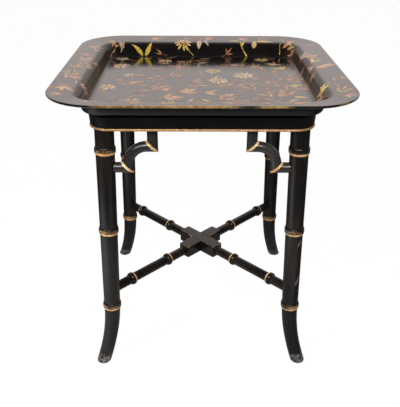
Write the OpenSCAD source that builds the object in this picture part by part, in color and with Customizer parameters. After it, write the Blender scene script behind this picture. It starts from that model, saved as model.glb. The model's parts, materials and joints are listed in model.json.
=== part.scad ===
// Black lacquered tray on a faux-bamboo stand. The tray lifts off a rounded apron frame that stands on
// four ring-turned legs with sabre feet, mitred spandrel brackets and a crossed stretcher.
// Millimetres, +Z up. The origin is on the floor under the middle of the tray; the front faces -Y.

/* [Tray] */
// Width of the tray over its rim, along X
tray_w = 553; // [540:1:580]
// Depth of the tray over its rim, along Y
tray_d = 547; // [535:1:575]
// Radius of the rim's corners, seen from above
rim_corner_r = 98; // [92:1:104]
// Height of the tray, from its underside to the top of its rim
tray_h = 39.7; // [36:0.1:44]
// Thickness of the tray's moulded wall
tray_t = 3.6; // [3:0.2:4.6]
// Thickness of the rolled edge of the rim
rim_t = 4.6; // [4:0.2:6]
// Width from the rim's edge to the wall of the well
flange_w = 59; // [55:1:63]
// Slope of the flange, falling towards the well, in degrees
flange_slope = 7.7; // [5:0.1:10]
// Radius of the shoulder between flange and wall, on the upper surface
shoulder_r = 19.5; // [15:0.5:22]
// Radius between the flange and the wall on the lower surface
under_r = 8; // [6:0.5:15]
// Radius of the cove between wall and floor
cove_r = 6; // [4:0.5:8]
// How far the wall leans outwards between cove and shoulder
wall_lean = 3; // [1:0.5:5]

/* [Apron] */
// Width of the apron frame along X, at its lower edge
apron_w = 410; // [404:1:416]
// Depth of the apron frame along Y, at its lower edge
apron_d = 413; // [406:1:420]
// How much farther out the apron's upper edge stands, on each side
apron_flare = 2; // [0:0.5:3]
// Radius of the apron's corners at its lower edge, seen from above
apron_corner_r = 38; // [34:1:42]
// Height of the apron rails
apron_h = 29.2; // [28:0.2:34]
// Thickness of the apron rails, front to back
rail_t = 36; // [34:1:40]
// Size of the square corner blocks
block = 56; // [52:1:60]
// Radius of the apron's rounded top edge
apron_round = 4; // [3:0.5:5]
// Thickness of the panel that the tray rests on
panel_t = 8; // [6:0.5:9]
// Height of the planted bead on the apron's lower edge
bead_h = 4.8; // [4:0.2:6]

/* [Legs and feet] */
// Height of the stand's top, where the tray rests
stand_h = 550.8; // [540:0.1:560]
// Distance between the leg axes along X, at the apron's underside
leg_span_x = 357; // [350:1:360]
// Distance between the leg axes along Y, at the apron's underside
leg_span_y = 369; // [362:1:372]
// How far each leg leans outwards along X and along Y, per millimetre of height
rake = 0.022; // [0.01:0.001:0.03]
// Diameter of a leg at its top
leg_d = 36; // [34:0.5:38]
// Diameter of a leg just above its lowest ring
leg_d_low = 33.4; // [31:0.2:35]
// Height of the highest ring
ring_z_high = 478.5; // [470:0.5:485]
// Height of the middle ring
ring_z_mid = 310; // [300:1:320]
// Height of the lowest ring
ring_z_low = 132; // [125:1:140]
// How far a ring stands proud of the leg
ring_proud = 2.3; // [1.5:0.1:3]
// Height of the joint between a leg and its foot
foot_h = 122; // [115:1:124]
// Diameter of a foot near the floor
foot_d = 30; // [27:0.5:32]
// How far a foot swings outwards along X and along Y
foot_splay = 20; // [15:1:24]

/* [Brackets] */
// Diameter of the bracket's canes
cane_d = 20; // [18:0.5:22]
// Radius of the curved cane, on its centre line
cane_bend_r = 36; // [32:1:38]
// Height of the level cane's centre line
bracket_z = 443; // [438:1:446]
// Distance of the upright cane from the middle, along X
bracket_x = 91.3; // [88:0.1:95]
// Straight run of the curved cane before its lower mitre
run_low = 6; // [4:0.5:9]
// Straight run of the curved cane before its upper mitre
run_high = 10.7; // [8:0.1:13]

/* [Stretchers] */
// Height of the stretchers' centre line
stretcher_z = 168; // [160:1:175]
// Diameter of the turned arms
arm_d = 20; // [18:0.5:22]
// How far an arm's ring stands proud
arm_ring_proud = 3.5; // [2.5:0.1:4.5]
// Distance of the inner rings from the crossing
arm_ring_in = 107; // [100:1:115]
// Distance of the outer rings from the crossing
arm_ring_out = 212; // [205:1:218]
// Section of the square middle of each stretcher
cross_t = 28; // [26:0.5:30]
// Length of the square middle of each stretcher
cross_l = 110; // [100:1:120]

/* [Hidden] */
$fn = 96;

glue = 0.05;            // gap of a glued joint, on the radius
far = 900;              // longer than any piece, for half-space cuts
lacquer = [0.05, 0.047, 0.045];
bare_wood = [0.55, 0.42, 0.28];
gilding = [0.80, 0.58, 0.26];

// A corner of the stand: -1 or 1 along X and along Y
FRONT_LEFT = [-1, -1];
FRONT_RIGHT = [1, -1];
BACK_LEFT = [-1, 1];
BACK_RIGHT = [1, 1];
CORNERS = [FRONT_LEFT, FRONT_RIGHT, BACK_LEFT, BACK_RIGHT];

// Apron
apron_z = stand_h - apron_h;                    // underside of the rails
panel_lap = 12;                                 // width of the rebate that holds the panel
panel_gap = 0.3;                                // room round the panel
under_turn = 5;                                 // where the shoulder's lower face meets its inner arc, in degrees
bead_sunk = 0.8;                                // depth of the bead's centre behind the apron's face
bead_r = sqrt(pow(bead_h / 2, 2) + pow(bead_sunk, 2));
rail_dowel_r = 4;
rail_dowel_l = 36;
rail_dowel_x = 8;                               // offset of a joint's two dowels from the rail's middle
rail_dowel_z = apron_z + 10;

// Legs: the axis of a leg passes through leg_top() and leans by lean degrees
lean = atan(rake * sqrt(2));
leg_tenon_r = 11;
leg_tenon_l = 17;
tenon_room = 1;         // how much deeper than the tenon its mortise is
leg_run = leg_tenon_l + apron_z;                // longer than the leg, measured down its axis
function leg_x(z) = leg_span_x / 2 + rake * (apron_z - z);
function leg_y(z) = leg_span_y / 2 + rake * (apron_z - z);
function leg_r(z) = (leg_d_low + (leg_d - leg_d_low) * (z - foot_h) / (apron_z - foot_h)) / 2;
ring_half = 7.5;                                // half the height of a leg's ring

// Feet
foot_dowel_r = 8;
foot_dowel_l = 50;
foot_steps = 14;
foot_sides = 32;
foot_round = 2.5;                               // rounding of the foot's lower edge
foot_step = 0.4;                                // how much thinner the foot is than the leg where they join

// Brackets
cane_r = cane_d / 2;
bend_x = bracket_x + run_high;                  // centre of the bend, from the middle
bend_z = bracket_z + run_low;                   // and above the floor
mitre_x = bend_x + cane_bend_r;                 // where the level cane meets the curved one
mitre_z = bend_z + cane_bend_r;                 // where the upright cane meets it
bracket_y = leg_y(bracket_z);
cane_dowel_r = 4;
cane_dowel_l = 24;

// Stretchers
cross_x = leg_x(stretcher_z);
cross_y = leg_y(stretcher_z);
cross_angle = atan2(cross_y, cross_x);
arm_reach = norm([cross_x, cross_y]);           // crossing to leg axis
arm_r = arm_d / 2;
arm_ring_half = 6;
arm_tenon_r = 6;
arm_tenon_end = 5;                              // how far the tenon passes the leg's axis

// Points on an arc round [cx, cz], from angle a0 to a1
function arc(cx, cz, r, a0, a1, n = 8) =
    [for (i = [0:n]) [cx + r * cos(a0 + (a1 - a0) * i / n), cz + r * sin(a0 + (a1 - a0) * i / n)]];

// ---- tray ----

// Radii and heights of the tray's section, measured from the centre of a rim corner
rim_top = stand_h + tray_h;
mouth_r = rim_corner_r - flange_w;              // upper end of the well's wall
cove_x = mouth_r - wall_lean - cove_r;          // centre of the cove
cove_z = stand_h + tray_t + cove_r;
flange_start = mouth_r + shoulder_r * (1 - sin(flange_slope));
flange_top = rim_top - (rim_corner_r - rim_t / 2 - flange_start) * tan(flange_slope);
shoulder_x = mouth_r + shoulder_r;
shoulder_z = flange_top - shoulder_r * cos(flange_slope);
inner_r = shoulder_r - tray_t;                   // the shoulder's own radius, measured on the lower face
under_x = shoulder_x - inner_r * cos(under_turn) + under_r;
under_z = shoulder_z + (under_x - shoulder_x) * tan(flange_slope)
        + (inner_r - under_r) / cos(flange_slope);

// Half section of the tray: upper surface outwards, round the rolled edge, lower surface back
function tray_section() = concat(
    [[0, stand_h + tray_t]],
    arc(cove_x, cove_z, cove_r, -90, -12),
    arc(shoulder_x, shoulder_z, shoulder_r, 175, 90 + flange_slope),
    arc(rim_corner_r - rim_t / 2, rim_top - rim_t / 2, rim_t / 2, 90 + flange_slope, -90),
    arc(under_x, under_z, under_r, 90 + flange_slope, 180),
    arc(cove_x, cove_z, cove_r + tray_t, -12, -90),
    [[0, stand_h]]
);

// A half section carried round a rounded rectangle w by d whose corner centres lie at r = 0
module carried(w, d, corner_r) {
    cx = w / 2 - corner_r;
    cy = d / 2 - corner_r;
    for (i = [0:3]) {
        side = i % 2 == 0 ? cy : cx;
        out = i % 2 == 0 ? cx : cy;
        rotate([0, 0, 90 * i]) {
            translate([out, side, 0]) rotate_extrude(angle = 90) children();
            translate([out, side, 0]) rotate([90, 0, 0]) linear_extrude(2 * side) children();
        }
    }
}

module tray() {
    color(lacquer) {
        carried(tray_w, tray_d, rim_corner_r) polygon(tray_section());
        translate([0, 0, stand_h + tray_t / 2])
            cube([tray_w - 2 * rim_corner_r, tray_d - 2 * rim_corner_r, tray_t], center = true);
    }
}

// ---- apron ----

module apron_outline() {
    for (sx = [-1, 1], sy = [-1, 1])
        translate([sx * (apron_w / 2 - apron_corner_r), sy * (apron_d / 2 - apron_corner_r)])
            circle(apron_corner_r);
    square([apron_w - 2 * apron_corner_r, apron_d], center = true);
    square([apron_w, apron_d - 2 * apron_corner_r], center = true);
}

// A point of the apron's leaning face, at a height above its lower edge
function face_at(h) = [apron_corner_r + apron_flare * h / (apron_h - apron_round), apron_z + h];

// Half section of the apron with its rounded top edge, measured from a corner's centre
module apron_section() {
    top = apron_corner_r + apron_flare - apron_round;
    polygon(concat(
        [[0, apron_z], [apron_corner_r, apron_z]],
        arc(top, stand_h - apron_round, apron_round, 0, 90),
        [[0, stand_h]]
    ));
}

// The whole apron before it is sawn into rails and corner blocks, with the rebate for the panel
module apron_solid() {
    inner_w = apron_w - 2 * rail_t;
    inner_d = apron_d - 2 * rail_t;
    difference() {
        union() {
            carried(apron_w, apron_d, apron_corner_r) apron_section();
            translate([0, 0, apron_z + apron_h / 2])
                cube([apron_w - 2 * apron_corner_r, apron_d - 2 * apron_corner_r, apron_h], center = true);
        }
        translate([0, 0, apron_z + apron_h / 2])
            cube([inner_w, inner_d, 2 * apron_h], center = true);
        translate([0, 0, stand_h])
            cube([inner_w + 2 * panel_lap, inner_d + 2 * panel_lap, 2 * panel_t], center = true);
    }
}

// The board that the tray rests on, level with the top of the rails
module rest_panel() {
    inset = rail_t - panel_lap + panel_gap;
    color(bare_wood)
        translate([0, 0, stand_h - panel_t / 2])
            cube([apron_w - 2 * inset, apron_d - 2 * inset, panel_t], center = true);
}

// The dowels at the two ends of every rail, as bores when grown
module rail_dowel_set(grow = 0) {
    for (sx = [-1, 1], sy = [-1, 1], off = [-1, 1] * rail_dowel_x) {
        translate([sx * (apron_w / 2 - block), sy * (apron_d - rail_t) / 2 + off, rail_dowel_z])
            rotate([0, 90, 0])
                cylinder(r = rail_dowel_r + grow, h = rail_dowel_l + 4 * grow, center = true);
        translate([sx * (apron_w - rail_t) / 2 + off, sy * (apron_d / 2 - block), rail_dowel_z])
            rotate([90, 0, 0])
                cylinder(r = rail_dowel_r + grow, h = rail_dowel_l + 4 * grow, center = true);
    }
}

module rail_dowels() {
    color(bare_wood) rail_dowel_set();
}

// A rail between two corner blocks: a side rail when side_on, otherwise the front or back one
module rail(s, side_on) {
    length = (side_on ? apron_d : apron_w) - 2 * block;
    across = 2 * block;
    color(lacquer)
        difference() {
            intersection() {
                apron_solid();
                translate(side_on ? [s * apron_w / 2, 0, stand_h] : [0, s * apron_d / 2, stand_h])
                    cube([side_on ? across : length, side_on ? length : across, 3 * apron_h], center = true);
            }
            rail_dowel_set(glue);
            for (c = CORNERS) cane_dowel_high(c, glue);
        }
}

// A solid block in the corner, under the panel's rebate, that the leg's tenon goes up into
module corner_block(c) {
    mid = [c[0] * (apron_w - block) / 2, c[1] * (apron_d - block) / 2];
    outer = [c[0] * (apron_w / 2 - block + far / 2), c[1] * (apron_d / 2 - block + far / 2)];
    under_panel = apron_h - panel_t;
    color(lacquer)
        difference() {
            intersection() {
                union() {
                    apron_solid();
                    intersection() {
                        translate([mid[0], mid[1], apron_z + under_panel / 2])
                            cube([block, block, under_panel], center = true);
                        linear_extrude(far) apron_outline();
                    }
                }
                translate([outer[0], outer[1], stand_h]) cube([far, far, 3 * apron_h], center = true);
            }
            rail_dowel_set(glue);
            on_leg(c) translate([0, 0, -leg_tenon_l])
                cylinder(r = leg_tenon_r + glue, h = 2 * leg_tenon_l + tenon_room);
        }
}

// Half-round bead planted on the apron's face, all the way round
module bead_ring() {
    carried(apron_w, apron_d, apron_corner_r)
        difference() {
            translate([apron_corner_r - bead_sunk, apron_z + bead_h / 2]) circle(bead_r, $fn = 48);
            polygon([[0, apron_z - bead_h], face_at(-bead_h), face_at(2 * bead_h),
                     [0, apron_z + 2 * bead_h]]);
        }
}

// One side's bead, mitred to its neighbours: turn is 0 for +X, 90 for +Y, and so on
module bead(turn) {
    side_on = turn % 180 == 0;
    apex = (side_on ? apron_w - apron_d : apron_d - apron_w) / 2;
    color(gilding)
        intersection() {
            bead_ring();
            translate([0, 0, apron_z - bead_h])
                linear_extrude(3 * bead_h)
                    rotate(turn) polygon([[apex, 0], [apex + far, far], [apex + far, -far]]);
        }
}

// ---- legs ----

// Stands its children on a leg's axis: z = 0 is the apron's underside, +z runs up the axis
module on_leg(c) {
    translate([c[0] * leg_span_x / 2, c[1] * leg_span_y / 2, apron_z])
        rotate(a = lean, v = [c[1], -c[0], 0])
            children();
}

function leg_ring(z) =
    [for (a = [-90:18:90]) [leg_r(z) + ring_proud * cos(a), z - apron_z + ring_half * sin(a)]];

// Half section of a leg, from below the foot joint up to above the apron's underside
function leg_section() = concat(
    [[0, -apron_z], [leg_r(0), -apron_z]],
    leg_ring(ring_z_low),
    leg_ring(ring_z_mid),
    leg_ring(ring_z_high),
    [[leg_d / 2, leg_d / 2], [0, leg_d / 2]]
);

module leg(c) {
    color(lacquer)
        difference() {
            union() {
                intersection() {
                    on_leg(c) rotate_extrude() polygon(leg_section());
                    translate([0, 0, (foot_h + apron_z) / 2])
                        cube([far, far, apron_z - foot_h], center = true);
                }
                on_leg(c) translate([0, 0, -leg_tenon_l]) cylinder(r = leg_tenon_r, h = 2 * leg_tenon_l);
            }
            on_leg(c) foot_dowel(glue);
            stretcher_tenons(glue);
            cane_dowel_low(c, glue);
        }
}

// The dowel between a leg and its foot, drawn on the leg's axis, as a bore when grown
module foot_dowel(grow = 0) {
    translate([0, 0, foot_h - apron_z])
        cylinder(r = foot_dowel_r + grow, h = foot_dowel_l + 2 * grow, center = true);
}

module foot_dowels() {
    color(bare_wood) for (c = CORNERS) on_leg(c) foot_dowel();
}

// Centre and radius of a foot at height z: the leg's line, swung outwards with the square of the depth
function foot_swing(z) = foot_splay * pow((foot_h - z) / foot_h, 2);
function foot_centre(z, c) = [c[0] * (leg_x(z) + foot_swing(z)), c[1] * (leg_y(z) + foot_swing(z)), z];
function foot_r(z) = foot_d / 2 + (leg_r(foot_h) - foot_step - foot_d / 2) * max(0, 1.6 * z / foot_h - 0.6);
function foot_levels() = concat(
    [for (i = [0:foot_steps]) foot_h + (foot_round - foot_h) * i / foot_steps],
    [foot_round * 0.3, 0]
);
function foot_inset(z) = z >= foot_round ? 0 : foot_round - sqrt(pow(foot_round, 2) - pow(foot_round - z, 2));

module foot_solid(c) {
    levels = foot_levels();
    n = len(levels);
    points = [for (z = levels, k = [0:foot_sides - 1])
        let (a = 360 * k / foot_sides)
        foot_centre(z, c) + (foot_r(z) - foot_inset(z)) * [cos(a), sin(a), 0]];
    walls = [for (i = [0:n - 2], k = [0:foot_sides - 1])
        let (m = (k + 1) % foot_sides)
        [i * foot_sides + k, i * foot_sides + m, (i + 1) * foot_sides + m, (i + 1) * foot_sides + k]];
    top = [for (k = [foot_sides - 1:-1:0]) k];
    base = [for (k = [0:foot_sides - 1]) (n - 1) * foot_sides + k];
    polyhedron(points, concat([top], walls, [base]));
}

module foot(c) {
    color(lacquer)
        difference() {
            foot_solid(c);
            on_leg(c) foot_dowel(glue);
        }
}

// ---- brackets ----

// Moves a bracket drawn on the right, in the XZ plane, to corner c
module at_bracket(c) {
    translate([0, c[1] * bracket_y, 0]) mirror([c[0] < 0 ? 1 : 0, 0, 0]) children();
}

// The half of space that lies from [x, z] in the direction angle, in the XZ plane
module half_space(x, z, angle) {
    translate([x, 0, z]) rotate([0, -angle, 0]) translate([0, -far / 2, -far / 2]) cube(far);
}

module level_cane(c) {
    color(lacquer)
        difference() {
            at_bracket(c)
                intersection() {
                    translate([mitre_x - 2 * cane_r, 0, bracket_z]) rotate([0, 90, 0])
                        cylinder(r = cane_r, h = leg_x(bracket_z) - mitre_x + 2 * cane_r);
                    half_space(mitre_x, bracket_z, -45);
                }
            on_leg(c) translate([0, 0, -leg_run]) cylinder(r = leg_r(bracket_z) + glue, h = leg_run);
            cane_dowel_low(c, glue);
        }
}

module upright_cane(c) {
    color(lacquer)
        difference() {
            at_bracket(c)
                intersection() {
                    translate([bracket_x, 0, mitre_z - 2 * cane_r])
                        cylinder(r = cane_r, h = apron_z - mitre_z + 2 * cane_r);
                    half_space(bracket_x, mitre_z, 135);
                }
            cane_dowel_high(c, glue);
        }
}

module curved_cane(c) {
    color(lacquer)
        at_bracket(c)
            difference() {
                union() {
                    translate([bend_x, 0, bend_z]) rotate([90, 0, 0])
                        rotate_extrude(angle = 90) translate([cane_bend_r, 0]) circle(cane_r);
                    translate([mitre_x, 0, bracket_z - 2 * cane_r])
                        cylinder(r = cane_r, h = run_low + 2 * cane_r);
                    translate([bracket_x - 2 * cane_r, 0, mitre_z]) rotate([0, 90, 0])
                        cylinder(r = cane_r, h = run_high + 2 * cane_r);
                }
                half_space(mitre_x, bracket_z, -45);
                half_space(bracket_x, mitre_z, 135);
            }
}

// The dowel between a level cane and its leg, as a bore when grown
module cane_dowel_low(c, grow = 0) {
    at_bracket(c)
        translate([leg_x(bracket_z) - leg_r(bracket_z), 0, bracket_z]) rotate([0, 90, 0])
            cylinder(r = cane_dowel_r + grow, h = cane_dowel_l + 2 * grow, center = true);
}

// The dowel between an upright cane and its rail, as a bore when grown
module cane_dowel_high(c, grow = 0) {
    at_bracket(c)
        translate([bracket_x, 0, apron_z])
            cylinder(r = cane_dowel_r + grow, h = cane_dowel_l + 2 * grow, center = true);
}

module bracket_dowels() {
    color(bare_wood) for (c = CORNERS) {
        cane_dowel_low(c);
        cane_dowel_high(c);
    }
}

// ---- stretchers ----

// The two stretchers' round tenons, as mortises when grown
module stretcher_tenons(grow = 0) {
    for (turn = [cross_angle, -cross_angle])
        translate([0, 0, stretcher_z]) rotate([0, 90, turn])
            cylinder(r = arm_tenon_r + grow, h = 2 * (arm_reach + arm_tenon_end + grow), center = true);
}

function arm_ring(s) =
    [for (a = [-90:22.5:90]) [arm_r + arm_ring_proud * cos(a), s + arm_ring_half * sin(a)]];

// Half section of one turned arm, measured out from the crossing
function arm_section() = concat(
    [[0, 0], [arm_r, 0]],
    arm_ring(arm_ring_in),
    arm_ring(arm_ring_out),
    [[arm_r, arm_reach], [0, arm_reach]]
);

// A whole stretcher along the line at turn degrees, before it is halved
module stretcher_bar(turn) {
    difference() {
        translate([0, 0, stretcher_z]) rotate([0, 0, turn]) {
            for (half = [0, 180]) rotate([0, 90, half]) rotate_extrude() polygon(arm_section());
            cube([cross_l, cross_t, cross_t], center = true);
        }
        for (c = CORNERS)
            on_leg(c) translate([0, 0, -leg_run]) cylinder(r = leg_r(stretcher_z) + glue, h = leg_run);
    }
    translate([0, 0, stretcher_z]) rotate([0, 90, turn])
        cylinder(r = arm_tenon_r, h = 2 * (arm_reach + arm_tenon_end), center = true);
}

// The half of the crossing that a stretcher gives up: up is 1 for its upper half, -1 for its lower
module halving(turn, up) {
    translate([0, 0, stretcher_z]) rotate([0, 0, turn])
        translate([0, 0, up * cross_t]) cube([2 * cross_l, cross_t, 2 * cross_t], center = true);
}

module stretcher_lower() {
    color(lacquer) difference() {
        stretcher_bar(cross_angle);
        halving(-cross_angle, 1);
    }
}

module stretcher_upper() {
    color(lacquer) difference() {
        stretcher_bar(-cross_angle);
        halving(cross_angle, -1);
    }
}

tray();
rest_panel();
rail(-1, false);  // apron_rail_front
rail(1, false);  // apron_rail_back
rail(-1, true);  // apron_rail_left
rail(1, true);  // apron_rail_right
corner_block(FRONT_LEFT);  // corner_block_front_left
corner_block(FRONT_RIGHT);  // corner_block_front_right
corner_block(BACK_LEFT);  // corner_block_back_left
corner_block(BACK_RIGHT);  // corner_block_back_right
bead(270);  // gilt_bead_front
bead(90);  // gilt_bead_back
bead(180);  // gilt_bead_left
bead(0);  // gilt_bead_right
rail_dowels();
leg(FRONT_LEFT);  // leg_front_left
leg(FRONT_RIGHT);  // leg_front_right
leg(BACK_LEFT);  // leg_back_left
leg(BACK_RIGHT);  // leg_back_right
foot(FRONT_LEFT);  // foot_front_left
foot(FRONT_RIGHT);  // foot_front_right
foot(BACK_LEFT);  // foot_back_left
foot(BACK_RIGHT);  // foot_back_right
foot_dowels();
level_cane(FRONT_LEFT);  // level_cane_front_left
level_cane(FRONT_RIGHT);  // level_cane_front_right
level_cane(BACK_LEFT);  // level_cane_back_left
level_cane(BACK_RIGHT);  // level_cane_back_right
curved_cane(FRONT_LEFT);  // curved_cane_front_left
curved_cane(FRONT_RIGHT);  // curved_cane_front_right
curved_cane(BACK_LEFT);  // curved_cane_back_left
curved_cane(BACK_RIGHT);  // curved_cane_back_right
upright_cane(FRONT_LEFT);  // upright_cane_front_left
upright_cane(FRONT_RIGHT);  // upright_cane_front_right
upright_cane(BACK_LEFT);  // upright_cane_back_left
upright_cane(BACK_RIGHT);  // upright_cane_back_right
bracket_dowels();
stretcher_lower();
stretcher_upper();
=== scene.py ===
"""A black lacquered tray, painted with gilt daisies and bamboo sprays, on its faux-bamboo stand.

The tray lifts off a rounded apron frame. The frame stands on four ring-turned legs with sabre feet, mitred
cane brackets and a crossed stretcher. Sizes in the classes are millimetres; a mesh is made in metres.
"""

import json
import logging
import math
from dataclasses import dataclass, field
from enum import Enum

import bpy
import numpy as np
from mathutils import Matrix, Vector

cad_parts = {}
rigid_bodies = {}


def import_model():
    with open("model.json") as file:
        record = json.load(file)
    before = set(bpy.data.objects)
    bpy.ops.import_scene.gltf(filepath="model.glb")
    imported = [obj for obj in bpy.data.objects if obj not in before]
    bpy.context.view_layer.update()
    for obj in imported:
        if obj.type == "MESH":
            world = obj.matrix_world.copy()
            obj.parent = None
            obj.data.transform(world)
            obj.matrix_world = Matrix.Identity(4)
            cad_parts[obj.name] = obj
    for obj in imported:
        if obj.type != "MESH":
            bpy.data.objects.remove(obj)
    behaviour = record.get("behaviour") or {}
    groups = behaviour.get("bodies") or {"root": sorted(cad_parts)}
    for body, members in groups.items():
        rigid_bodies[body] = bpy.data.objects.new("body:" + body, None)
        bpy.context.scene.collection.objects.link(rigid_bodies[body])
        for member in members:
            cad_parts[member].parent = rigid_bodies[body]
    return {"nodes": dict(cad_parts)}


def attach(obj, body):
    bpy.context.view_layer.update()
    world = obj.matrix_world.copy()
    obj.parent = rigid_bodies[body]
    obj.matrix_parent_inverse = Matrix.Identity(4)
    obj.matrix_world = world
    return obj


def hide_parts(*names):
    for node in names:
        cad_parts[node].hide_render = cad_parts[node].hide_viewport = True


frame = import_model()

Array = np.ndarray
Colour = tuple[float, float, float, float]
Socket = bpy.types.NodeSocket
Rows = tuple[tuple[float, ...], ...]

MM = 0.001
LOG = logging.getLogger("lacquered_tray_table")


class Body(Enum):
    """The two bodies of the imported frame."""

    STAND = "stand"
    TRAY = "tray"


class Slot(Enum):
    """The record's material slots."""

    TRAY = "tray_lacquer"
    STAND = "stand_lacquer"
    GILDING = "gilding"
    WOOD = "bare_wood"


class Corner(Enum):
    """A corner of the stand, with its signs along X and Y."""

    FRONT_LEFT = (-1, -1)
    FRONT_RIGHT = (1, -1)
    BACK_LEFT = (-1, 1)
    BACK_RIGHT = (1, 1)

    @property
    def label(self) -> str:
        """The corner's name as the frame's nodes spell it."""
        return self.name.lower()


class Stroke(Enum):
    """The outlines a painter's brush leaves."""

    PETAL = "petal"
    LEAF = "leaf"
    STEM = "stem"
    DAB = "dab"


def tone(red: float, green: float, blue: float) -> Colour:
    """A linear colour from display values of 0 to 255.

    Args:
        red: Red, 0 to 255.
        green: Green, 0 to 255.
        blue: Blue, 0 to 255.

    Returns:
        The colour as linear light with an alpha of 1.
    """
    shown = np.array([red, green, blue]) / 255.0
    linear = np.where(shown <= 0.04045, shown / 12.92, ((shown + 0.055) / 1.055) ** 2.4)
    return (float(linear[0]), float(linear[1]), float(linear[2]), 1.0)


def smooth_step(value: Array, low: float, high: float) -> Array:
    """0 up to low, 1 from high on, and 3t^2 - 2t^3 of the share t in between.

    Args:
        value: The numbers to grade.
        low: Where the step starts.
        high: Where the step ends.

    Returns:
        The graded numbers, 0 to 1.
    """
    share = np.clip((value - low) / (high - low), 0.0, 1.0)
    return share * share * (3.0 - 2.0 * share)


def band(value: Array, low: float, high: float, soft: float) -> Array:
    """1 between low and high, fading to 0 over soft on both sides.

    Args:
        value: The numbers to grade.
        low: Lower edge of the band.
        high: Upper edge of the band.
        soft: Width of each fade.

    Returns:
        The band's strength, 0 to 1.
    """
    return smooth_step(value, low - soft, low) * (1.0 - smooth_step(value, high, high + soft))


def arc_points(centre: tuple[float, float], radius: float, start: float, end: float, count: int) -> Array:
    """Points on an arc: centre + radius times (cos a, sin a), with a going evenly from start to end.

    Args:
        centre: The arc's centre.
        radius: Its radius.
        start: First angle in degrees.
        end: Last angle in degrees.
        count: Number of points.

    Returns:
        An array of count rows of two coordinates.
    """
    angle = np.radians(np.linspace(start, end, count))
    return np.stack([centre[0] + radius * np.cos(angle), centre[1] + radius * np.sin(angle)], -1)


def turn_angles(count: int) -> Array:
    """Angles of count points evenly round a full turn, in radians."""
    return np.arange(count) * (2.0 * math.pi / count)


def wander(rng: np.random.Generator, angle: Array, size: float, counts: tuple[int, ...]) -> Array:
    """An uneven edge round a turn: the sum over counts k of n sin(k angle + p), p drawn from 0 to 6.28.

    Args:
        rng: The random draws.
        angle: Angles in radians.
        size: Standard deviation of the sizes n.
        counts: The waves' numbers round the turn.

    Returns:
        The sum at each angle.
    """
    return sum(rng.normal(0, size) * np.sin(k * angle + rng.uniform(0, 6.28)) for k in counts)


def ring_profile(
    radius: Array, run: Array, rings: tuple[float, ...], half: float, proud: float,
    groove: tuple[float, float, float],
) -> Array:
    """A turned radius with rings. Within half of a ring it gains proud times sqrt(1 - share^2).

    A groove on both sides sets each ring off.

    Args:
        radius: The plain radius at each run.
        run: Positions along the axis.
        rings: Positions of the rings' middles.
        half: Half a ring's width.
        proud: How far a ring stands out.
        groove: Depth, width and softness of a groove.

    Returns:
        The turned radius.
    """
    depth, width, soft = groove
    for ring in rings:
        share = np.clip((run - ring) / half, -1.0, 1.0)
        radius = radius + proud * np.sqrt(1.0 - share ** 2)
        radius = radius - depth * band(np.abs(run - ring), half + 0.3, half + 0.3 + width, soft)
    return radius


@dataclass
class Skins:
    """Closed skins of the same grid. Rows wrap round, and a fan closes the first and the last row.

    Attributes:
        points: Array of skins, rows, points round a row, and three coordinates, in millimetres.
        marks: Named numbers per point that the finishes read, each the points' shape without the last axis.
    """

    points: Array
    marks: dict[str, Array] = field(default_factory=dict)

    def __post_init__(self) -> None:
        """Makes a single skin a batch of one."""
        if self.points.ndim == 3:
            self.points = self.points[None]
            self.marks = {name: values[None] for name, values in self.marks.items()}

    def vertices(self) -> Array:
        """All grid points of a skin, then the middles of its first and last rows, skin after skin.

        Returns:
            An array of skins, vertices of a skin, and three coordinates.
        """
        count = len(self.points)
        ends = np.stack([self.points[:, 0].mean(1), self.points[:, -1].mean(1)], 1)
        return np.concatenate([self.points.reshape(count, -1, 3), ends], 1)

    def mark(self, name: str) -> Array:
        """The values of one mark in the order of the vertices, or zeros where the skins have none."""
        shape = self.points.shape[:3]
        values = np.broadcast_to(self.marks.get(name, np.zeros(1)), shape)
        ends = np.stack([values[:, 0].mean(1), values[:, -1].mean(1)], 1)
        return np.concatenate([values.reshape(shape[0], -1), ends], 1)

    def faces(self) -> tuple[Array, Array]:
        """Quads between neighbouring rows, and triangles from each end's middle to its row.

        The sum over the triangles of a . (b x c) is six times the volume they close. Where it is negative,
        the faces look inwards, and their corners are reversed.

        Returns:
            The quads and the triangles of all skins, as rows of vertex numbers.
        """
        skins, rows, around = self.points.shape[:3]
        here = np.arange(around)
        step = (here + 1) % around
        row = np.arange(rows - 1)[:, None] * around
        quads = np.stack([row + here, row + step, row + around + step, row + around + here], -1)
        quads = quads.reshape(-1, 4)
        grid = rows * around
        last = grid - around
        first_fan = np.stack([np.full(around, grid), step, here], -1)
        last_fan = np.stack([np.full(around, grid + 1), last + here, last + step], -1)
        fans = np.concatenate([first_fan, last_fan])
        vertices = self.vertices()[0]
        vertices = vertices - vertices.mean(0)
        triangles = np.concatenate([quads[:, [0, 1, 2]], quads[:, [0, 2, 3]], fans])
        a, b, c = (vertices[triangles[:, k]] for k in range(3))
        if np.einsum("ij,ij->", a, np.cross(b, c)) < 0:
            quads, fans = quads[:, ::-1], fans[:, ::-1]
        offset = np.arange(skins)[:, None, None] * (grid + 2)
        return (quads + offset).reshape(-1, 4), (fans + offset).reshape(-1, 3)


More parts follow.
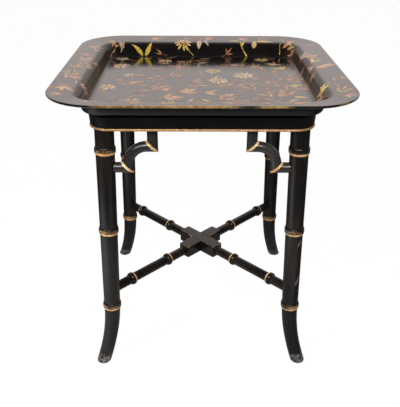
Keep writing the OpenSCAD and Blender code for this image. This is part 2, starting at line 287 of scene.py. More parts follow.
def make_piece(
    name: str,
    batches: list[Skins],
    material: bpy.types.Material,
    body: Body,
    nodes: list[str],
    crease: float = 38.0,
) -> bpy.types.Object:
    """Puts skins into one mesh object in metres, rides it on its body and hides the CAD nodes it stands for.

    Args:
        name: The piece's name.
        batches: The skins that make up the piece.
        material: Its finish.
        body: The body it rides on.
        nodes: CAD nodes that it stands for.
        crease: Edges sharper than this many degrees stay crisp.

    Returns:
        The new object.
    """
    vertices, faces, start = [], [], 0
    for skins in batches:
        points = skins.vertices().reshape(-1, 3)
        quads, fans = skins.faces()
        vertices.append(points)
        faces += (quads + start).tolist() + (fans + start).tolist()
        start += len(points)
    mesh = bpy.data.meshes.new(name)
    mesh.from_pydata((np.concatenate(vertices) * MM).tolist(), [], faces)
    for mark in sorted({key for skins in batches for key in skins.marks}):
        values = np.concatenate([skins.mark(mark).ravel() for skins in batches]).astype(np.float32)
        mesh.attributes.new(mark, "FLOAT", "POINT").data.foreach_set("value", values)
    mesh.shade_smooth()
    mesh.set_sharp_from_angle(angle=math.radians(crease))
    mesh.materials.append(material)
    mesh.update()
    piece = bpy.data.objects.new(name, mesh)
    bpy.context.scene.collection.objects.link(piece)
    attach(piece, body.value)
    if nodes:
        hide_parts(*nodes)
    LOG.info("%s: %d vertices, %d faces", name, len(mesh.vertices), len(mesh.polygons))
    return piece


# ---- finishes ----


class NodeSheet:
    """Adds nodes to a node tree and joins them."""

    def __init__(self, tree: bpy.types.NodeTree) -> None:
        """Starts on a tree."""
        self.tree = tree

    def add(self, kind: str, inputs: dict | None = None, **settings: object) -> bpy.types.Node:
        """Adds a node.

        Args:
            kind: The node's type, such as ShaderNodeMath.
            inputs: Values or sockets for its inputs, by name or number.
            **settings: Properties to set on it first.

        Returns:
            The node.
        """
        node = self.tree.nodes.new(kind)
        for key, value in settings.items():
            setattr(node, key, value)
        self.feed(node, inputs or {})
        return node

    def feed(self, node: bpy.types.Node, inputs: dict) -> None:
        """Joins sockets to a node's inputs and writes other values on them.

        Args:
            node: The node.
            inputs: Values or sockets, by the input's name or number.
        """
        for key, value in inputs.items():
            if isinstance(value, Socket):
                self.tree.links.new(value, node.inputs[key])
            else:
                node.inputs[key].default_value = value

    def math(self, operation: str, first: object, second: object = 0.0) -> Socket:
        """The result of an operation on two numbers or sockets."""
        return self.add("ShaderNodeMath", {0: first, 1: second}, operation=operation).outputs[0]

    def plus(self, first: object, second: object) -> Socket:
        """Two numbers added."""
        return self.math("ADD", first, second)

    def times(self, first: object, second: object) -> Socket:
        """Two numbers multiplied."""
        return self.math("MULTIPLY", first, second)

    def near(self, value: Socket, middle: float, low: float, high: float, strength: float = 1.0) -> Socket:
        """Strength where a value is within low of the middle, fading to 0 at high from it."""
        distance = self.math("ABSOLUTE", self.math("SUBTRACT", value, middle))
        return self.grade(distance, low, high, strength, 0.0)

    def blend(self, share: object, first: object, second: object, mode: str = "MIX") -> Socket:
        """Two colours mixed by a share."""
        made = self.add("ShaderNodeMix", {0: share, 6: first, 7: second}, data_type="RGBA", blend_type=mode)
        return made.outputs[2]

    def between(self, share: object, first: object, second: object) -> Socket:
        """A number between first and second by a share."""
        return self.add("ShaderNodeMix", {0: share, 2: first, 3: second}, data_type="FLOAT").outputs[0]

    def grade(self, value: Socket, low: float, high: float, start: float = 0.0, end: float = 1.0) -> Socket:
        """A value from low to high, graded smoothly from start to end."""
        wanted = {0: value, 1: low, 2: high, 3: start, 4: end}
        return self.add("ShaderNodeMapRange", wanted, interpolation_type="SMOOTHSTEP").outputs[0]

    def noise(self, vector: Socket, scale: float, detail: float = 3.0, rough: float = 0.55) -> Socket:
        """Cloudy noise of about scale lumps a metre."""
        wanted = {"Vector": vector, "Scale": scale, "Detail": detail, "Roughness": rough}
        return self.add("ShaderNodeTexNoise", wanted).outputs[0]

    def stretched(self, vector: Socket, scale: tuple[float, float, float]) -> Socket:
        """Coordinates stretched by a scale along each axis."""
        return self.add("ShaderNodeMapping", {"Vector": vector, "Scale": scale}).outputs[0]

    def mark(self, name: str) -> Socket:
        """A number that the mesh carries."""
        return self.add("ShaderNodeAttribute", attribute_name=name).outputs["Fac"]

    def place(self) -> Socket:
        """Object coordinates, in metres."""
        return self.add("ShaderNodeTexCoord").outputs["Object"]

    def bump(self, height: Socket, strength: float, depth: float, under: Socket | None = None) -> Socket:
        """A normal bumped by a height.

        Args:
            height: The height, 0 to 1.
            strength: Strength of the bump.
            depth: Depth of the bump in millimetres.
            under: The normal that it lies on, if any.

        Returns:
            The normal.
        """
        wanted = {"Height": height, "Strength": strength, "Distance": depth * MM}
        if under is not None:
            wanted["Normal"] = under
        return self.add("ShaderNodeBump", wanted).outputs[0]


def new_group(name: str, inputs: dict[str, object], outputs: str) -> tuple[NodeSheet, dict, bpy.types.Node]:
    """Starts a shader node group.

    Args:
        name: The group's name.
        inputs: Its inputs with their defaults: a number, a colour, or None for a vector.
        outputs: Names of its outputs. Colour is a colour, and the others are numbers.

    Returns:
        The sheet to add nodes on, its input sockets by name, and its output node.
    """
    tree = bpy.data.node_groups.new(name, "ShaderNodeTree")
    for key, value in inputs.items():
        kind = "NodeSocketVector" if value is None else "NodeSocketFloat"
        kind = "NodeSocketColor" if isinstance(value, tuple) else kind
        socket = tree.interface.new_socket(name=key, in_out="INPUT", socket_type=kind)
        if value is not None:
            socket.default_value = value
    for key in outputs.split():
        kind = "NodeSocketColor" if key == "Colour" else "NodeSocketFloat"
        tree.interface.new_socket(name=key, in_out="OUTPUT", socket_type=kind)
    sheet = NodeSheet(tree)
    entry = sheet.add("NodeGroupInput")
    leave = sheet.add("NodeGroupOutput")
    return sheet, {key: entry.outputs[key] for key in inputs}, leave


def old_lacquer_group() -> bpy.types.NodeTree:
    """Old lacquer: brown clouds in the black, smudged gloss, fine scratches, dust specks and a faint ripple.

    Returns:
        The node group, with outputs Colour, Roughness and Height.
    """
    inputs = {
        "Vector": None,
        "Black": (0.01, 0.009, 0.008, 1.0),
        "Brown": (0.03, 0.02, 0.014, 1.0),
        "Smudge Scale": 14.0,
        "Gloss": 0.1,
        "Dull": 0.2,
        "Dust": 0.3,
        "Ripple Scale": 60.0,
    }
    sheet, take, leave = new_group("old_lacquer", inputs, "Colour Roughness Height")
    clouds = sheet.noise(take["Vector"], take["Smudge Scale"], 5.0, 0.62)
    brown = sheet.grade(clouds, 0.42, 0.72)
    colour = sheet.blend(brown, take["Black"], take["Brown"])
    specks = sheet.noise(take["Vector"], 2600.0, 1.0)
    lint = sheet.noise(sheet.stretched(take["Vector"], (5.0, 1.0, 1.0)), 420.0, 2.0)
    dusty = sheet.math("MAXIMUM", sheet.grade(specks, 0.70, 0.78), sheet.grade(lint, 0.73, 0.80))
    dusty = sheet.times(dusty, take["Dust"])
    colour = sheet.blend(dusty, colour, tone(150, 142, 132))
    smudge = sheet.grade(sheet.noise(take["Vector"], 38.0, 6.0, 0.7), 0.35, 0.75)
    rough = sheet.between(smudge, take["Gloss"], take["Dull"])
    rough = sheet.plus(rough, sheet.times(dusty, 0.4))
    ripple = sheet.noise(take["Vector"], take["Ripple Scale"], 2.0)
    fine = sheet.times(sheet.noise(take["Vector"], 700.0, 2.0), 0.05)
    height = sheet.plus(sheet.plus(ripple, fine), sheet.times(dusty, 0.06))
    sheet.feed(leave, {"Colour": colour, "Roughness": rough, "Height": height})
    return sheet.tree


def rubbed_gilt_group() -> bpy.types.NodeTree:
    """Gilding laid over lacquer and rubbed: the mask says how sound it is, and noise eats its weak places.

    Returns:
        The node group, with outputs Mask, Colour, Roughness and Height.
    """
    inputs = {
        "Vector": None,
        "Sound": 1.0,
        "Bright": (0.8, 0.5, 0.2, 1.0),
        "Deep": (0.4, 0.2, 0.06, 1.0),
        "Patch Scale": 40.0,
        "Wear": 0.3,
    }
    sheet, take, leave = new_group("rubbed_gilt", inputs, "Mask Colour Roughness Height")
    patch = sheet.noise(take["Vector"], take["Patch Scale"], 4.0, 0.6)
    crumbs = sheet.noise(take["Vector"], 900.0, 2.0)
    eaten = sheet.plus(sheet.times(patch, 1.5), sheet.times(crumbs, 0.5))
    eaten = sheet.times(sheet.math("SUBTRACT", eaten, 0.62), take["Wear"])
    left = sheet.math("SUBTRACT", take["Sound"], eaten)
    mask = sheet.grade(left, 0.18, 0.62)
    tint = sheet.grade(sheet.noise(take["Vector"], 120.0, 3.0), 0.3, 0.7)
    colour = sheet.blend(tint, take["Deep"], take["Bright"])
    rough = sheet.between(tint, 0.46, 0.30)
    height = sheet.plus(mask, sheet.times(crumbs, 0.25))
    sheet.feed(leave, {"Mask": mask, "Colour": colour, "Roughness": rough, "Height": height})
    return sheet.tree


def new_material(name: str) -> tuple[bpy.types.Material, NodeSheet, bpy.types.Node]:
    """A material with a Principled shader.

    Args:
        name: The material's name.

    Returns:
        The material, its sheet and its shader.
    """
    material = bpy.data.materials.new(name)
    material.use_nodes = True
    shader = next(n for n in material.node_tree.nodes if n.type == "BSDF_PRINCIPLED")
    return material, NodeSheet(material.node_tree), shader


@dataclass(frozen=True)
class GildedLacquer:
    """Black lacquer with gilding where the mesh's gilt mark says, and no varnish where the mark is below 0.

    A scuff mark lays pale scratches over it, which near the floor on the feet are partly a painted highlight,
    and a second mark makes it browner and duller.

    Attributes:
        name: The material's name.
        black: Colour of the sound lacquer.
        brown: Colour where it has mellowed.
        gloss: Roughness where it is clean.
        dull: Roughness where it is smudged.
        dust: Strength of the specks.
        ripple_scale: Ripples a metre.
        ripple: Depth of the ripples in millimetres.
        coat: Weight of the varnish.
        grain: Stretch of the pattern along X, Y and Z.
        bright: Colour of the sound gilding.
        deep: Colour of the thin gilding.
        patch_scale: Worn patches a metre.
        wear: How far the gilding is rubbed away.
        metal: How metallic the gilding is.
        coat_gloss: Roughness of the varnish.
        index: Refractive index of the lacquer.
    """

    name: str
    black: Colour
    brown: Colour
    gloss: float
    dull: float
    dust: float
    ripple_scale: float
    ripple: float
    coat: float
    grain: tuple[float, float, float]
    bright: Colour
    deep: Colour
    patch_scale: float
    wear: float
    metal: float = 0.3
    coat_gloss: float = 0.03
    index: float = 1.5

    def build(self, lacquer: bpy.types.NodeTree, gilt: bpy.types.NodeTree) -> bpy.types.Material:
        """Makes the material.

        Args:
            lacquer: The old lacquer group.
            gilt: The rubbed gilt group.

        Returns:
            The material.
        """
        material, sheet, shader = new_material(self.name)
        place = sheet.place()
        wanted = {
            "Vector": sheet.stretched(place, self.grain),
            "Black": self.black,
            "Brown": self.brown,
            "Gloss": self.gloss,
            "Dull": self.dull,
            "Dust": self.dust,
            "Ripple Scale": self.ripple_scale,
        }
        base = sheet.add("ShaderNodeGroup", wanted, node_tree=lacquer).outputs
        scratches = sheet.noise(sheet.stretched(place, (1.0, 1.0, 0.35)), 260.0)
        worn = sheet.grade(sheet.times(sheet.mark("rubbed"), scratches), 0.34, 0.66, 0.0, 0.75)
        wanted = {
            "Vector": place,
            "Sound": sheet.mark("gilt"),
            "Bright": self.bright,
            "Deep": self.deep,
            "Patch Scale": self.patch_scale,
            "Wear": self.wear,
        }
        gold = sheet.add("ShaderNodeGroup", wanted, node_tree=gilt).outputs
        mask = gold["Mask"]
        # A second mark makes the lacquer browner and duller, with less varnish.
        handled = sheet.mark("handled")
        dull = sheet.times(handled, 0.6)
        # Pale scratches over the black, which near the floor on the feet are partly a painted highlight.
        black = sheet.blend(worn, base["Colour"], tone(138, 136, 134))
        black = sheet.blend(dull, black, tone(74, 58, 46))
        rough = sheet.between(handled, base["Roughness"], 0.42)
        varnished = sheet.grade(sheet.mark("gilt"), -0.8, -0.2)
        coat = sheet.times(sheet.between(mask, self.coat, self.coat * 0.3), varnished)
        coat = sheet.times(coat, sheet.between(handled, 1.0, 0.3))
        ripple = sheet.bump(base["Height"], 1.0, self.ripple)
        wanted = {
            "Base Color": sheet.blend(mask, black, gold["Colour"]),
            "Roughness": sheet.between(mask, rough, gold["Roughness"]),
            "Metallic": sheet.times(mask, self.metal),
            "Coat Weight": coat,
            "Normal": sheet.bump(gold["Height"], 0.5, 0.12, ripple),
            "IOR": self.index,
            "Coat Roughness": self.coat_gloss,
            "Coat IOR": 1.5,
        }
        sheet.feed(shader, wanted)
        return material


@dataclass(frozen=True)
class PaintedGold:
    """Gilt painting under varnish. The mesh's tint mark runs from copper to white gold.

    Attributes:
        name: The material's name.
        tones: Colours from copper to white gold.
        metal: How metallic the paint is.
    """

    name: str
    tones: tuple[Colour, ...]
    metal: float

    def build(self) -> bpy.types.Material:
        """Makes the material.

        Returns:
            The material.
        """
        material, sheet, shader = new_material(self.name)
        place = sheet.place()
        ramp = sheet.add("ShaderNodeValToRGB")
        stops = ramp.color_ramp.elements
        while len(stops) < len(self.tones):
            stops.new(0.5)
        for number, colour in enumerate(self.tones):
            stops[number].position = number / (len(self.tones) - 1)
            stops[number].color = colour
        cloud = sheet.noise(place, 160.0, 4.0, 0.65)
        shift = sheet.times(sheet.math("SUBTRACT", cloud, 0.5), 0.35)
        sheet.feed(ramp, {0: sheet.plus(sheet.mark("tint"), shift)})
        hair = sheet.noise(place, 1500.0, 2.0)
        thin = sheet.plus(sheet.times(hair, 0.45), sheet.times(cloud, 0.55))
        worn = sheet.grade(sheet.math("SUBTRACT", thin, sheet.mark("faded")), 0.18, 0.52)
        colour = sheet.blend(worn, tone(40, 30, 24), ramp.outputs[0])
        wanted = {
            "Base Color": colour,
            "Roughness": sheet.between(worn, 0.2, 0.38),
            "Metallic": sheet.times(worn, self.metal),
            "Normal": sheet.bump(thin, 0.4, 0.05),
            "Coat Weight": 1.0,
            "Coat Roughness": 0.04,
        }
        sheet.feed(shader, wanted)
        return material


@dataclass(frozen=True)
class SawnWood:
    """Plain wood with rings and fibres, for the parts that no lacquer covers.

    Attributes:
        name: The material's name.
        pale: Colour of the early wood.
        dark: Colour of the late wood.
    """

    name: str
    pale: Colour
    dark: Colour

    def build(self) -> bpy.types.Material:
        """Makes the material.

        Returns:
            The material.
        """
        material, sheet, shader = new_material(self.name)
        place = sheet.stretched(sheet.place(), (1.0, 0.12, 1.0))
        wave = {"Vector": place, "Scale": 55.0, "Distortion": 5.0, "Detail": 3.0, "Detail Scale": 1.6}
        rings = sheet.add("ShaderNodeTexWave", wave).outputs["Fac"]
        fibres = sheet.noise(place, 900.0, 3.0)
        share = sheet.plus(sheet.times(rings, 0.7), sheet.times(fibres, 0.3))
        wanted = {
            "Base Color": sheet.blend(share, self.pale, self.dark),
            "Roughness": sheet.grade(fibres, 0.3, 0.7, 0.55, 0.75),
            "Normal": sheet.bump(share, 0.5, 0.15),
        }
        sheet.feed(shader, wanted)
        return material


@dataclass
class Finishes:
    """Every finish of the object, built once."""

    tray: bpy.types.Material
    stand: bpy.types.Material
    cane: bpy.types.Material
    apron: bpy.types.Material
    bead: bpy.types.Material
    painting: bpy.types.Material
    wood: bpy.types.Material

    @classmethod
    def build(cls) -> "Finishes":
        """Builds the groups and the materials that use them.

        Returns:
            The finishes.
        """
        groups = (old_lacquer_group(), rubbed_gilt_group())
        tray = GildedLacquer(
            "japanned_tray", tone(14, 13, 13), tone(28, 22, 18), 0.16, 0.26, 0.10, 9.0, 0.25, 1.0,
            (1.0, 1.0, 1.0), tone(222, 186, 122), tone(156, 120, 74), 11.0, 0.9, 0.3, 0.13,
        )
        stand = GildedLacquer(
            "black_stand_lacquer", tone(11, 10, 10), tone(34, 26, 21), 0.20, 0.34, 0.35, 40.0, 0.12, 0.0,
            (1.0, 1.0, 0.22), tone(255, 222, 166), tone(226, 164, 98), 38.0, 0.4, 0.35,
        )
        # Painted sheen: the canes are the stand's black lacquer given a lighter grey base colour for the grey
        # shine along them.
        cane = GildedLacquer(
            "cane_lacquer", tone(36, 35, 35), tone(54, 50, 48), 0.20, 0.34, 0.35, 40.0, 0.12, 0.6,
            (1.0, 1.0, 1.0), tone(255, 222, 166), tone(226, 164, 98), 38.0, 0.4, 0.35, 0.26,
        )
        apron = GildedLacquer(
            "apron_lacquer", tone(10, 8, 8), tone(34, 22, 16), 0.22, 0.36, 0.30, 30.0, 0.12, 0.0,
            (0.3, 0.3, 1.0), tone(226, 170, 96), tone(140, 88, 48), 38.0, 0.5,
        )
        bead = GildedLacquer(
            "gilt_bead", tone(40, 26, 18), tone(70, 46, 30), 0.3, 0.45, 0.3, 60.0, 0.1, 0.0,
            (0.4, 0.4, 1.0), tone(228, 184, 132), tone(200, 146, 94), 26.0, 0.3, 0.5,
        )
        painting = PaintedGold(
            "gilt_painting",
            (
                tone(158, 104, 72), tone(224, 160, 116), tone(250, 216, 76), tone(252, 206, 160),
                tone(255, 238, 212),
            ),
            0.05,
        )
        wood = SawnWood("plain_wood", tone(196, 160, 112), tone(140, 102, 62))
        gilded = [finish.build(*groups) for finish in (tray, stand, cane, apron, bead)]
        return cls(*gilded, painting.build(), wood.build())


# ---- tray ----


@dataclass
class TrayForm:
    """The tray's section and plan. A section point has a distance outside the corner centres and a height.

    Attributes:
        width: Size along X.
        depth: Size along Y.
        corner_r: Radius of the plan's corners.
        base: Height of the tray's underside.
        height: Height of the tray.
        wall: Thickness of the walls and the floor.
        rim: Diameter of the rolled edge.
        flange: Width of the flange, from the edge to the well's mouth.
        slope: The flange's slope in degrees.
        shoulder_r: Radius of the shoulder between the well and the flange.
        under_r: Radius of the bend on the shoulder's underside.
        cove_r: Radius between the floor and the walls.
        lean: How far the walls lean outwards from the floor to the mouth.
    """

    width: float = 553.0
    depth: float = 547.0
    corner_r: float = 98.0
    base: float = 550.8
    height: float = 39.7
    wall: float = 3.6
    rim: float = 4.6
    flange: float = 59.0
    slope: float = 7.7
    shoulder_r: float = 19.5
    under_r: float = 8.0
    cove_r: float = 6.0
    lean: float = 3.0

    def __post_init__(self) -> None:
        """Works out the centres of the section's arcs, and the upper surface's length, radius and height."""
        slope = math.radians(self.slope)
        mouth = self.corner_r - self.flange
        self.half_x = self.width / 2 - self.corner_r
        self.half_y = self.depth / 2 - self.corner_r
        self.top = self.base + self.height
        self.rim_x = self.corner_r - self.rim / 2
        self.cove = (mouth - self.lean - self.cove_r, self.base + self.wall + self.cove_r)
        start = mouth + self.shoulder_r * (1 - math.sin(slope))
        start_z = self.top - (self.rim_x - start) * math.tan(slope)
        self.shoulder = (mouth + self.shoulder_r, start_z - self.shoulder_r * math.cos(slope))
        inner = self.shoulder_r - self.wall
        under_x = self.shoulder[0] - inner * math.cos(math.radians(5.0)) + self.under_r
        drop = (under_x - self.shoulder[0]) * math.tan(slope) + (inner - self.under_r) / math.cos(slope)
        self.under = (under_x, self.shoulder[1] + drop)
        self.upper = self.upper_section()
        steps = np.hypot(*np.diff(self.upper, axis=0).T)
        self.length = np.concatenate([[0.0], np.cumsum(steps)])
        along = np.gradient(self.upper, self.length, axis=0)
        self.normal = np.stack([-along[:, 1], along[:, 0]], -1)

    def upper_section(self) -> Array:
        """The upper surface outwards: floor, cove, leaning wall, shoulder and sloping flange.

        Returns:
            Section points.
        """
        floor = np.stack([np.linspace(0.0, self.cove[0], 12)[:-1], np.full(11, self.base + self.wall)], -1)
        cove = arc_points(self.cove, self.cove_r, -90, -12, 14)
        shoulder = arc_points(self.shoulder, self.shoulder_r, 175, 90 + self.slope, 26)
        rim = np.array([self.rim_x, self.top])
        share = np.linspace(0.0, 1.0, 6)[1:-1, None]
        wall = cove[-1] + (shoulder[0] - cove[-1]) * share
        share = np.linspace(0.0, 1.0, 22)[1:, None]
        flange = shoulder[-1] + (rim - shoulder[-1]) * share
        return np.concatenate([floor, cove, wall, shoulder, flange])

    def outline(self, corner_steps: int = 26, side_steps: int = 22) -> tuple[Array, Array]:
        """The plan as anchors and directions: a point at distance r is its anchor plus r times its direction.

        Along a side the anchor moves between two corner centres. Round a corner the direction turns.

        Args:
            corner_steps: Steps round a corner.
            side_steps: Steps along a side.

        Returns:
            Anchors and directions, two coordinates each.
        """
        anchors, directions = [], []
        signs = [(1, 1), (-1, 1), (-1, -1), (1, -1)]
        for number, (sx, sy) in enumerate(signs):
            angle = np.radians(90 * number + np.linspace(0.0, 90.0, corner_steps + 1))
            centre = np.array([sx * self.half_x, sy * self.half_y])
            anchors.append(np.broadcast_to(centre, (corner_steps + 1, 2)))
            directions.append(np.stack([np.cos(angle), np.sin(angle)], -1))
            nx, ny = signs[(number + 1) % 4]
            to = np.array([nx * self.half_x, ny * self.half_y])
            share = np.linspace(0.0, 1.0, side_steps + 1)[1:-1, None]
            anchors.append(centre + (to - centre) * share)
            directions.append(np.broadcast_to(directions[-1][-1], (side_steps - 1, 2)))
        return np.concatenate(anchors), np.concatenate(directions)

    def place(self, across: Array, along: Array, lift: Array) -> Array:
        """Points on the tray's upper surface from its unfolded plan.

        The part of a coordinate beyond the corner centres is a length up the section, so a point at
        distance s beyond them goes to the section's radius and height at s, plus lift along its normal.

        Args:
            across: Unfolded coordinate along X.
            along: Unfolded coordinate along Y.
            lift: Height above the surface.

        Returns:
            Points with three coordinates.
        """
        over_x = np.maximum(np.abs(across) - self.half_x, 0.0)
        over_y = np.maximum(np.abs(along) - self.half_y, 0.0)
        run = np.hypot(over_x, over_y)
        radius = np.interp(run, self.length, self.upper[:, 0])
        height = np.interp(run, self.length, self.upper[:, 1])
        out = np.interp(run, self.length, self.normal[:, 0])
        rise = np.interp(run, self.length, self.normal[:, 1])
        scale = np.where(run > 0, (radius + lift * out) / np.maximum(run, 1e-9), 0.0)
        x = np.sign(across) * (np.minimum(np.abs(across), self.half_x) + over_x * scale)
        y = np.sign(along) * (np.minimum(np.abs(along), self.half_y) + over_y * scale)
        return np.stack([x, y, height + lift * rise], -1)


@dataclass
class Tray:
    """The moulded tray with its rolled, gilt rim."""

    form: TrayForm
    inner_r: float = 16.0
    fill: int = 5
    gilt_top: float = 3.2
    handled_from: float = 35.0
    handled_to: float = 48.0
    seed: int = 11

    def section(self) -> Array:
        """The whole section: upper surface, round the rolled edge, and the lower surface back.

        The lower surface is the upper one's arcs with the wall's thickness taken off or added.

        Returns:
            Section points.
        """
        form = self.form
        upper = form.upper[form.upper[:, 0] >= self.inner_r]
        centre = (form.rim_x, form.top - form.rim / 2)
        edge = arc_points(centre, form.rim / 2, 90 + form.slope, -90, 18)
        shoulder = arc_points(form.under, form.under_r, 90 + form.slope, 180, 18)
        cove = arc_points(form.cove, form.cove_r + form.wall, -12, -90, 14)
        floor = np.array([[self.inner_r, form.base]])
        return np.concatenate([upper[:-1], edge, shoulder, cove, floor])

    def build(self, finishes: Finishes) -> bpy.types.Object:
        """Carries the section round the plan, and closes the flat floor towards its middle.

        The gilding covers the rim's upper side. It is soundest at the front and back, and weakest at the
        corners. The well's left and right walls are browner and duller round the cove and shoulder.

        Args:
            finishes: The finishes.

        Returns:
            The tray.
        """
        anchors, directions = self.form.outline()
        section = self.section()
        plan = anchors[None] + section[:, :1, None] * directions[None]
        height = np.broadcast_to(section[:, 1, None, None], plan.shape[:2] + (1,))
        shell = np.concatenate([plan, height], -1)
        inwards = np.linspace(0.15, 1.0, self.fill + 1)[:-1, None, None]
        middle = np.array([1.0, 1.0, 0.0])
        first = shell[0] * (inwards * middle + (1 - middle))
        last = shell[-1] * (inwards[::-1] * middle + (1 - middle))
        points = np.concatenate([first, shell, last])
        rng = np.random.default_rng(self.seed)
        angle = turn_angles(points.shape[1])
        waves = wander(rng, angle, 0.35, (3, 5, 9, 14, 23))
        rows = np.concatenate([np.zeros(self.fill), section[:, 0], np.zeros(self.fill)])
        number = np.arange(len(rows))[:, None]
        rim_start = self.fill + int(np.argmax(section[:, 0]))
        on_top = number <= rim_start + 10
        edge = self.form.rim_x
        near_edge = smooth_step(rows[:, None] + waves[None], edge - self.gilt_top, edge - 1.6)
        x, y = shell[-1, :, 0] / self.form.width, shell[-1, :, 1] / self.form.depth
        bare = wander(rng, angle, 0.12, (7, 12, 19, 31, 47))
        sound = np.where(np.abs(y) > np.abs(x), 0.86, 0.46) - 0.5 * smooth_step(np.abs(x * y), 0.08, 0.14)
        gilt = np.where(on_top, near_edge, 0.0) * np.clip(sound + bare, 0.0, 1.0)
        gilt = np.where(number > rim_start + 12, -1.0, gilt)
        sideways = smooth_step(np.abs(directions[:, 0]), 0.35, 0.9)
        # Browner and duller on the well's left and right walls, round the cove and shoulder.
        wall = band(rows[:, None], self.handled_from, self.handled_to, 8.0)
        handled = np.where(number < rim_start, wall, 0.0) * sideways
        skins = Skins(points, {"gilt": gilt, "handled": handled})
        return make_piece("lacquered_tray", [skins], finishes.tray, Body.TRAY, ["tray"])


